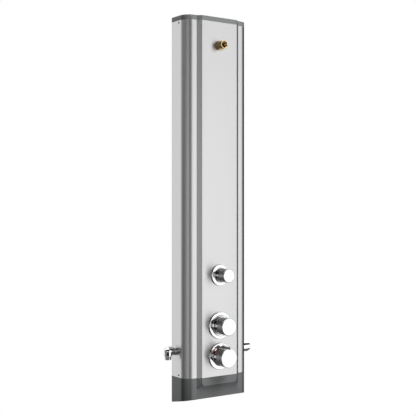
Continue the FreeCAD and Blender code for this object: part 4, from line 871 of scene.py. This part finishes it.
class SHOWER_OT_foot(Step, bpy.types.Operator):
    """Add the deep grey cap under the panel, with the rounded end of the raised strip."""

    bl_idname = "shower.foot"
    bl_label = "Bottom cap"

    def execute(self, context):
        sizes = context.scene.shower_panel_sizes
        top = HOUSING_LOW.z
        foot = front_block("bottom_foot", -PAST, top, sizes, crowned=False)
        joined(foot, strip_end(sizes))
        floor_cut(foot, sizes, 0.0)
        slope = sizes.floor_rise / sizes.shoulder
        with editing(foot, "EDGE"):
            choose(foot, "EDGE", lambda edge: lies(edge, "y", FRONT_Y)
                   and not lies(edge, "z", top))
            bpy.ops.mesh.bevel(offset=sizes.crease, segments=3, affect="EDGES")
            choose(foot, "EDGE", lambda edge: both_ends(
                edge, lambda co: abs(co.z + co.y * slope) < NEAR) and not lies(edge, "y", 0.0))
            bpy.ops.mesh.bevel(offset=sizes.rim_round, segments=3, affect="EDGES")
        skin = sizes.skin
        hollow = inner_block("foot_hollow", -2 * PAST, top - skin, sizes)
        floor_cut(hollow, sizes, skin)
        mouth = box_piece("mouth", (-HALF_WIDTH + skin, -0.049, top - 2 * skin),
                          (HALF_WIDTH - skin, PAST, top + PAST))
        carved(foot, hollow, mouth)
        dressed(foot, PANEL, "bottom_cap", "grey_cap", angle=28.0)
        return {"FINISHED"}


# ---------------------------------------------------------------- controls

class SHOWER_OT_outlet(Step, bpy.types.Operator):
    """Add the brass locknut and the threaded socket for the shower head."""

    bl_idname = "shower.outlet"
    bl_label = "Shower-head outlet"

    def execute(self, context):
        corner = 13.6 / math.cos(math.radians(30.0))
        nut = turned("outlet_nut", [(0, 0), (corner, 0), (corner, 10), (0, 10)], 6)
        nothing_selected()
        nut.select_set(True)
        context.view_layer.objects.active = nut
        nut.rotation_euler.z = math.radians(30.0)
        bpy.ops.object.transform_apply(location=False, rotation=True, scale=False)
        dome = turned("nut_dome", [(0, -0.1), (13.8, -0.1), (17.0, 1.8), (17.0, 8.2),
                                   (13.8, 10.0), (0, 10.0)], 96)
        combined(nut, dome, "INTERSECT")
        carved(nut, turned("nut_bore", [(0, -1), (PIPE, -1), (PIPE, 11), (0, 11)], 96))
        softened(nut, 0.25 * MM)
        dressed(on_front(nut, OUTLET_Z), PANEL, "outlet_locknut", "outlet_brass")

        crest, root = 9.3, 10.2
        thread = []
        depth = 24.6
        while depth - PITCH > 15.0:
            thread += [(crest, depth), (crest, depth - 0.3), (root, depth - PITCH / 2),
                       (crest, depth - PITCH + 0.3)]
            depth -= PITCH
        socket = turned("outlet_socket_ring", [
            (6.0, 12.5), (13.0, 12.5, 0.8), (13.0, 26.0, 0.9), (10.6, 26.0, 0.2)] + thread + [
            (crest, 14.0), (6.0, 14.0)], ROUND)
        dressed(on_front(socket, OUTLET_Z), PANEL, "outlet_socket", "outlet_brass")
        return {"FINISHED"}


def hollow_knob(name, sizes, radius, front, hub, rim=9.0):
    """A closed knob shell turned as one profile: face, rim, inside wall and hub."""
    radius, round_mm = radius / MM, sizes.rim_round / MM
    inner, web = radius - 2.3, front - 4.0
    return turned(name, [
        (0, front), (radius, front, round_mm), (radius, rim, 0.5), (inner, rim, 0.4),
        (inner, web, 1.0), (hub, web, 0.8), (hub, web - 13.0, 0.4), (4.0, web - 13.0),
        (4.0, web - 4.0), (0, web - 4.0)], FINE)


def coil_spring(name, radius, wire, low, high, turns):
    """A compression spring about Z: a round wire, screwed from one height up to another."""
    piece = primitive(name, "circle", vertices=12, radius=wire * MM,
                      location=((radius - wire) * MM, 0.0, (low + wire) * MM),
                      rotation=(math.radians(90.0), 0.0, 0.0))
    modifier = piece.modifiers.new("coil", "SCREW")
    modifier.axis = "Z"
    modifier.steps = modifier.render_steps = 32
    modifier.iterations = turns
    modifier.screw_offset = (high - low - 2 * wire) / turns * MM
    bpy.ops.object.modifier_apply(modifier=modifier.name)
    with editing(piece, "EDGE"):
        take_all()
        bpy.ops.mesh.fill_holes(sides=0)
        turn_outwards()
    return piece


class SHOWER_OT_diverter(Step, bpy.types.Operator):
    """Add the diverter's escutcheon and knob."""

    bl_idname = "shower.diverter"
    bl_label = "Diverter"

    def execute(self, context):
        sizes = context.scene.shower_control_sizes
        plate = turned("diverter_plate", [
            (33.0, 0.0), (33.0, 5.2, 1.4), (24.3, 6.2, 0.2), (24.3, 10.2, 0.3),
            (22.3, 10.2, 0.3), (22.3, 5.2), (31.0, 3.8), (31.0, 0.0)], FINE)
        dressed(on_front(plate, DIVERTER_Z), PANEL, "diverter_escutcheon")
        cap = hollow_knob("diverter_handle", sizes, sizes.diverter_radius, 50.0, 8.0)
        dressed(on_front(cap, DIVERTER_Z), "diverter_handle", "diverter_knob")
        return {"FINISHED"}


class SHOWER_OT_timed_button(Step, bpy.types.Operator):
    """Add the self-closing valve's stepped escutcheon and push button."""

    bl_idname = "shower.timed_button"
    bl_label = "Self-closing button"

    def execute(self, context):
        sizes = context.scene.shower_control_sizes
        plate = turned("timed_plate", [
            (42.0, 0.0), (42.0, 5.2, 1.4), (34.2, 6.0, 0.6), (33.0, 6.0, 0.3), (33.0, 9.4, 0.8),
            (31.4, 10.5, 0.6), (28.1, 10.5, 0.4), (28.1, 8.5), (30.6, 8.5), (30.6, 4.6),
            (40.0, 3.8), (40.0, 0.0)], FINE)
        dressed(on_front(plate, BUTTON_Z), PANEL, "push_valve_escutcheon")
        cap = hollow_knob("timed_cap", sizes, sizes.button_radius, sizes.reach / MM, 6.0)
        dressed(on_front(cap, BUTTON_Z), "push_handle", "push_button")
        seat, web, travel = 10.0, 47.0, 7.6
        spring = coil_spring("return_spring", 11.5, 0.8, seat, web, 7)
        dressed(on_front(spring, BUTTON_Z), PANEL, "push_button_spring", "steel")
        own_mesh(spring)
        return {"FINISHED"}


class SHOWER_OT_thermostat(Step, bpy.types.Operator):
    """Add the thermostat's marked plate, stop ring, knob, face cap and stop button."""

    bl_idname = "shower.thermostat"
    bl_label = "Thermostat"

    def execute(self, context):
        sizes = context.scene.shower_control_sizes
        plate = turned("thermostat_plate", [
            (41.5, 0.0), (41.5, 5.2, 1.4), (30.5, 6.2, 0.3), (29.5, 8.0, 0.4), (27.5, 8.0, 0.3),
            (27.5, 5.2), (39.5, 3.8), (39.5, 0.0)], FINE)
        dressed(on_front(plate, THERMOSTAT_Z), PANEL, "thermostat_escutcheon",
                "marked_chrome")
        stop = turned("stop_ring", [
            (19.3, 5.0), (26.8, 5.0), (26.8, 11.0, 0.4), (19.3, 11.0)], ROUND)
        dressed(on_front(stop, THERMOSTAT_Z), PANEL, "thermostat_stop_ring", "black_plastic")
        self.add_knob(sizes)
        self.add_button(sizes)
        return {"FINISHED"}

    def add_knob(self, sizes):
        radius, front = sizes.thermostat_radius / MM, sizes.reach / MM
        inner, recess, web = radius - 2.3, front - 2.0, front - 6.0
        shell = turned("thermostat_shell", [
            (inner, 11.8, 0.4), (radius, 11.8, 0.5), (radius, front, sizes.rim_round / MM),
            (26.5, front, 0.15), (26.5, recess), (2.0, recess), (2.0, web - 12.0),
            (4.0, web - 12.0), (4.0, web - 25.0), (8.0, web - 25.0), (8.0, web, 0.8),
            (inner, web, 1.0)], FINE)
        slot = box_piece("button_slot", (-4.1 * MM, 26.6 * MM, 13.7 * MM),
                         (4.1 * MM, 31.0 * MM, (front + 1.0) * MM))
        carved(shell, slot)
        dressed(on_front(shell, THERMOSTAT_Z), "thermostat_handle", "thermostat_knob")
        face = turned("thermostat_face", [
            (0, recess + 1.2), (3.9, recess + 1.2), (3.9, recess), (26.45, recess),
            (26.45, front, 0.35), (0, front)], FINE)
        dressed(on_front(face, THERMOSTAT_Z), "thermostat_handle", "thermostat_knob_cap")

    def add_button(self, sizes):
        top = sizes.thermostat_radius / MM + 4.8
        bar = box_piece("stop_bar", (-3.8 * MM, 29.8 * MM, 14.0 * MM),
                        (3.8 * MM, top * MM, 50.0 * MM))
        with editing(bar, "EDGE"):
            choose(bar, "EDGE", lambda edge: lies(edge, "y", top * MM))
            bpy.ops.mesh.bevel(offset=1.2 * MM, segments=4, affect="EDGES")
            choose(bar, "FACE", lambda face: face.normal.y > 0.99)
            bpy.ops.mesh.inset(thickness=1.0 * MM)
            bpy.ops.transform.translate(value=(0.0, -0.25 * MM, 0.0))
        stem = box_piece("stop_stem", (-3.8 * MM, 25.5 * MM, 14.0 * MM),
                         (3.8 * MM, 29.9 * MM, 44.0 * MM))
        sole = box_piece("stop_sole", (-5.4 * MM, 24.3 * MM, 15.0 * MM),
                         (5.4 * MM, 26.5 * MM, 40.0 * MM))
        joined(bar, stem, sole)
        dressed(on_front(bar, THERMOSTAT_Z), "stop_button", "safety_stop_button", "grey_button")
        seat, sole_low, travel, reach = 8.0, 24.3, 3.1, 32.0
        spring = coil_spring("stop_spring", 3.0, 0.4, seat, sole_low, 6)
        moved(spring, (0.0, FRONT_Y / MM - reach, THERMOSTAT_Z))
        dressed(spring, "thermostat_handle", "safety_stop_spring", "steel")
        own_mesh(spring)


# ---------------------------------------------------------------- side fittings

def male_thread(start, end, crest, root):
    """Profile points of a pipe thread from one height up to another."""
    points, at = [], start
    while at + PITCH <= end:
        points += [(root, at), (crest, at + PITCH / 2 - 0.15), (crest, at + PITCH / 2 + 0.15)]
        at += PITCH
    return points + [(root, at)]


class SHOWER_OT_hose_elbow(Step, bpy.types.Operator):
    """Add the elbow for the hand shower's hose and its collar."""

    bl_idname = "shower.hose_elbow"
    bl_label = "Hose elbow"

    def execute(self, context):
        side = (-HALF_WIDTH / MM, SIDE_Y, ELBOW_Z)
        bend = (-HALF_WIDTH / MM - 28.0, SIDE_Y, ELBOW_Z)
        collar = turned("elbow_collar", [
            (PIPE, 0.0), (14.3, 0.0), (14.3, 4.1, 0.3), (13.6, 4.5), (14.3, 4.9, 0.3),
            (14.3, 9.0, 0.7), (PIPE, 9.0)], ROUND)
        dressed(moved(collar, side, LEFT), PANEL, "hose_elbow_collar")

        elbow = turned("elbow_leg", [
            (0, 1.3), (12.95, 1.3), (12.95, 14.5, 0.8), (10.9, 14.5), (10.9, 15.6)]
            + male_thread(15.8, 25.9, PIPE, 9.5) + [(9.4, 26.5, 0.3), (0, 26.5)], 126)
        moved(elbow, bend, DOWN)
        arm = turned("elbow_arm", [(0, -20.5), (PIPE, -20.5), (PIPE, 9.02), (13.0, 9.02, 0.4),
                                   (13.0, 26.8), (0, 26.8)], ROUND)
        moved(arm, side, LEFT)
        # a little off the arm's and the leg's own edges, so that the joins stay clean
        ball = primitive("elbow_ball", "uv_sphere", segments=128, ring_count=63, radius=13.2 * MM,
                         location=Vector(bend) * MM, rotation=(0.0, 0.0, 0.02))
        joined(elbow, arm, ball)
        carved(elbow, drill(6.0, 3.0, 30.0, bend, DOWN))
        elbow.name = "hose_outlet"
        dressed(elbow, PANEL, "hose_elbow")
        return {"FINISHED"}


class SHOWER_OT_cradle(Step, bpy.types.Operator):
    """Add the swivelling cradle for the hand shower and its rosette."""

    bl_idname = "shower.cradle"
    bl_label = "Handset cradle"

    def execute(self, context):
        side = (HALF_WIDTH / MM, SIDE_Y, HOLDER_Z)
        rosette = turned("cradle_rosette", [
            (5.05, 0.0), (19.0, 0.0), (19.0, 3.5, 1.1), (5.05, 3.5)], ROUND)
        dressed(moved(rosette, side, RIGHT), PANEL, "holder_rosette")

        radius = 17.5
        cradle = turned("cradle", [
            (0, 9.8), (5.0, 9.8), (5.0, 3.8), (radius, 3.8, 0.5), (radius, 41.0, 1.2), (0, 41.0)],
            ROUND)
        moved(cradle, side, RIGHT)
        socket_x = HALF_WIDTH / MM + 25.0
        cone = turned("cone", [(0, -18.5), (10.5, -18.5), (12.0, 18.5), (0, 18.5)], ROUND)
        moved(cone, (socket_x, SIDE_Y, HOLDER_Z))
        way = box_piece("way", Vector((socket_x, SIDE_Y - 7.5, HOLDER_Z - 19)) * MM,
                        Vector((socket_x + 20, SIDE_Y + 7.5, HOLDER_Z + 19)) * MM)
        tip = HALF_WIDTH / MM + 41.0
        under = box_piece("under", Vector((tip - 30, SIDE_Y - 19, HOLDER_Z - 60)) * MM,
                          Vector((tip + 60, SIDE_Y + 19, HOLDER_Z + 60)) * MM)
        run, rise = 8.0, radius - 8.0
        with editing(under, "FACE"):
            take_all()
            bpy.ops.mesh.bisect(plane_co=Vector((tip, SIDE_Y, HOLDER_Z - 8.0)) * MM,
                                plane_no=(-rise, 0.0, run), clear_outer=True, use_fill=True)
        carved(cradle, cone, way, under)
        softened(cradle, 0.5 * MM, 3)
        dressed(cradle, "handset_cradle", "handset_holder")
        return {"FINISHED"}


class SHOWER_OT_inner_parts(Step, bpy.types.Operator):
    """Give the remaining metalwork, pipes, seals and screws their finishes."""

    bl_idname = "shower.inner_parts"
    bl_label = "Inner parts"

    def execute(self, context):
        slots = {row["node"]: row["material_slot"] for row in frame["record"]["subparts"]}
        for name, node in frame["nodes"].items():
            node.data.materials.clear()
            node.data.materials.append(finish_of(slots[name]))
        return {"FINISHED"}


# ---------------------------------------------------------------- studio

# brightness of the room at eye level, by azimuth from -X round by the camera to +X and the wall
AROUND = [(0.0, 0.12), (0.035, 0.24), (0.07, 0.46), (0.10, 0.78), (0.13, 0.98), (0.16, 0.74),
          (0.195, 0.26), (0.225, 0.46), (0.26, 1.00), (0.295, 1.22), (0.345, 1.24),
          (0.40, 1.10), (0.445, 0.48), (0.48, 0.06), (0.53, 0.02), (0.66, 0.02), (0.71, 0.14),
          (0.77, 0.68), (0.82, 0.91), (0.86, 0.88), (0.885, 0.46), (0.925, 0.26),
          (0.955, 0.12), (1.0, 0.12)]
TO_CAMERA = (-0.573, -0.818, 0.05)


def studio_light(world, studio):
    """A soft studio, made to be mirrored in the metal.

    It has bands of light all round at eye level, a bright ceiling that is dark in front of the
    panel, a dark ground with a bright window in front, and a dark screen with a slit about the
    camera. The camera itself sees plain white.
    """
    world.use_nodes = True
    graph = Graph(world.node_tree)
    towards = graph.add("ShaderNodeTexCoord", {}, {}, "Generated")
    x, y, z = graph.axes(towards)
    flat = (x * x + y * y).maths("SQRT")
    height = z.maths("ARCTAN2", flat) / (math.pi / 2)
    round_share = y.maths("ARCTAN2", x) / (2 * math.pi) + 0.5
    level = graph.add("ShaderNodeValToRGB", {"stops": AROUND}, {"Fac": round_share})
    dark = (0.02, 0.02, 0.02, 1.0)
    before = ((0.47 - round_share) / 0.02).held()
    nearness = x * TO_CAMERA[0] + y * TO_CAMERA[1] + z * TO_CAMERA[2]
    screen = ((nearness - math.cos(math.radians(43.0))) / 0.06).held()
    slit = ((abs(height + 0.02) - 0.10) / 0.03).held()
    level = graph.blended(screen * slit, level, dark)
    above = ((height - 0.34) / 0.06).held()
    level = graph.blended(above, level, (1.4, 1.4, 1.4, 1.0))
    ceiling = ((height - 0.25) / 0.04).held() * ((0.62 - height) / 0.04).held()
    level = graph.blended(ceiling * before, level, dark)
    low = ((-height - 0.27) / 0.06).held()
    level = graph.blended(low, level, (0.12, 0.12, 0.12, 1.0))
    front = ((0.40 - round_share) / 0.02).held() * ((round_share - 0.27) / 0.02).held()
    level = graph.blended(low * front * ((0.42 + height) / 0.05).held(), level,
                       (1.2, 1.2, 1.2, 1.0))
    light = graph.add("ShaderNodeBackground", {}, {"Color": level,
                                                   "Strength": studio.brightness})
    white = graph.add("ShaderNodeBackground", {}, {"Color": (1.0, 1.0, 1.0, 1.0),
                                                   "Strength": 1.0})
    seen = graph.add("ShaderNodeLightPath", {}, {}, "Is Camera Ray")
    shown = graph.add("ShaderNodeMixShader", {}, {0: seen, 1: light, 2: white})
    graph.add("ShaderNodeOutputWorld", {}, {"Surface": shown})


def soft_light(name, at, towards, size, power):
    """A large lamp that lights matt surfaces and leaves no hot spot on the chrome."""
    lamp = bpy.data.lights.new(name, "AREA")
    lamp.shape = "RECTANGLE"
    lamp.size, lamp.size_y = size
    lamp.energy = power
    holder = bpy.data.objects.new(name, lamp)
    bpy.context.scene.collection.objects.link(holder)
    holder.location = at
    holder.rotation_euler = (Vector(towards) - Vector(at)).to_track_quat("-Z", "Y").to_euler()
    holder.visible_glossy = False


class SHOWER_OT_stage(Step, bpy.types.Operator):
    """Add the pale floor, the studio's light and the camera."""

    bl_idname = "shower.stage"
    bl_label = "Studio"

    def execute(self, context):
        scene, studio = context.scene, context.scene.shower_studio
        floor = primitive("floor", "circle", vertices=96, radius=studio.floor_size / 2,
                          fill_type="NGON", location=(0.0, 0.0, -studio.floor_drop))
        floor.data.materials.append(moulding("pale_floor", tuple(studio.floor_colour), 0.8, 40.0))
        floor.visible_glossy = floor.visible_diffuse = False

        lens = bpy.data.cameras.new("camera")
        lens.sensor_width, lens.lens = 36.0, studio.lens
        lens.shift_y = -3.0 / 416.0
        lens.clip_start, lens.clip_end = 0.05, 50.0
        camera = bpy.data.objects.new("camera", lens)
        scene.collection.objects.link(camera)
        camera.location = studio.eye
        camera.rotation_euler = (math.radians(90.0), 0.0, -studio.turn)
        scene.camera = camera

        scene.world = scene.world or bpy.data.worlds.new("studio")
        studio_light(scene.world, studio)
        soft_light("key", (0.3, -1.9, 2.6), (0.0, 0.0, 0.4), (1.0, 1.0), 560.0)
        scene.view_settings.view_transform = "Standard"
        return {"FINISHED"}


# ---------------------------------------------------------------- add-on

PIECES = (SHOWER_OT_inner_parts, SHOWER_OT_housing, SHOWER_OT_lid, SHOWER_OT_foot,
          SHOWER_OT_outlet, SHOWER_OT_diverter, SHOWER_OT_timed_button, SHOWER_OT_thermostat,
          SHOWER_OT_hose_elbow, SHOWER_OT_cradle, SHOWER_OT_stage)


class SHOWER_PT_panel(bpy.types.Panel):
    """Buttons and settings of the shower panel column."""

    bl_label = "Shower panel"
    bl_idname = "SHOWER_PT_panel"
    bl_space_type = "VIEW_3D"
    bl_region_type = "UI"
    bl_category = "Shower panel"

    def draw(self, context):
        for operator in PIECES:
            self.layout.operator(operator.bl_idname, text=operator.bl_label)
        for name, group in SETTINGS:
            box = self.layout.box()
            box.label(text=group.__doc__)
            for setting in group.__annotations__:
                box.prop(getattr(context.scene, name), setting)


CLASSES = tuple(group for _, group in SETTINGS) + PIECES + (SHOWER_PT_panel,)


def register():
    for item in CLASSES:
        bpy.utils.register_class(item)
    for name, group in SETTINGS:
        setattr(bpy.types.Scene, name, bpy.props.PointerProperty(type=group))


def unregister():
    for name, _ in SETTINGS:
        delattr(bpy.types.Scene, name)
    for item in reversed(CLASSES):
        bpy.utils.unregister_class(item)


def main():
    register()
    for operator in PIECES:
        group, name = operator.bl_idname.split(".")
        getattr(getattr(bpy.ops, group), name)()
    bpy.context.view_layer.update()


if __name__ == "__main__":
    main()
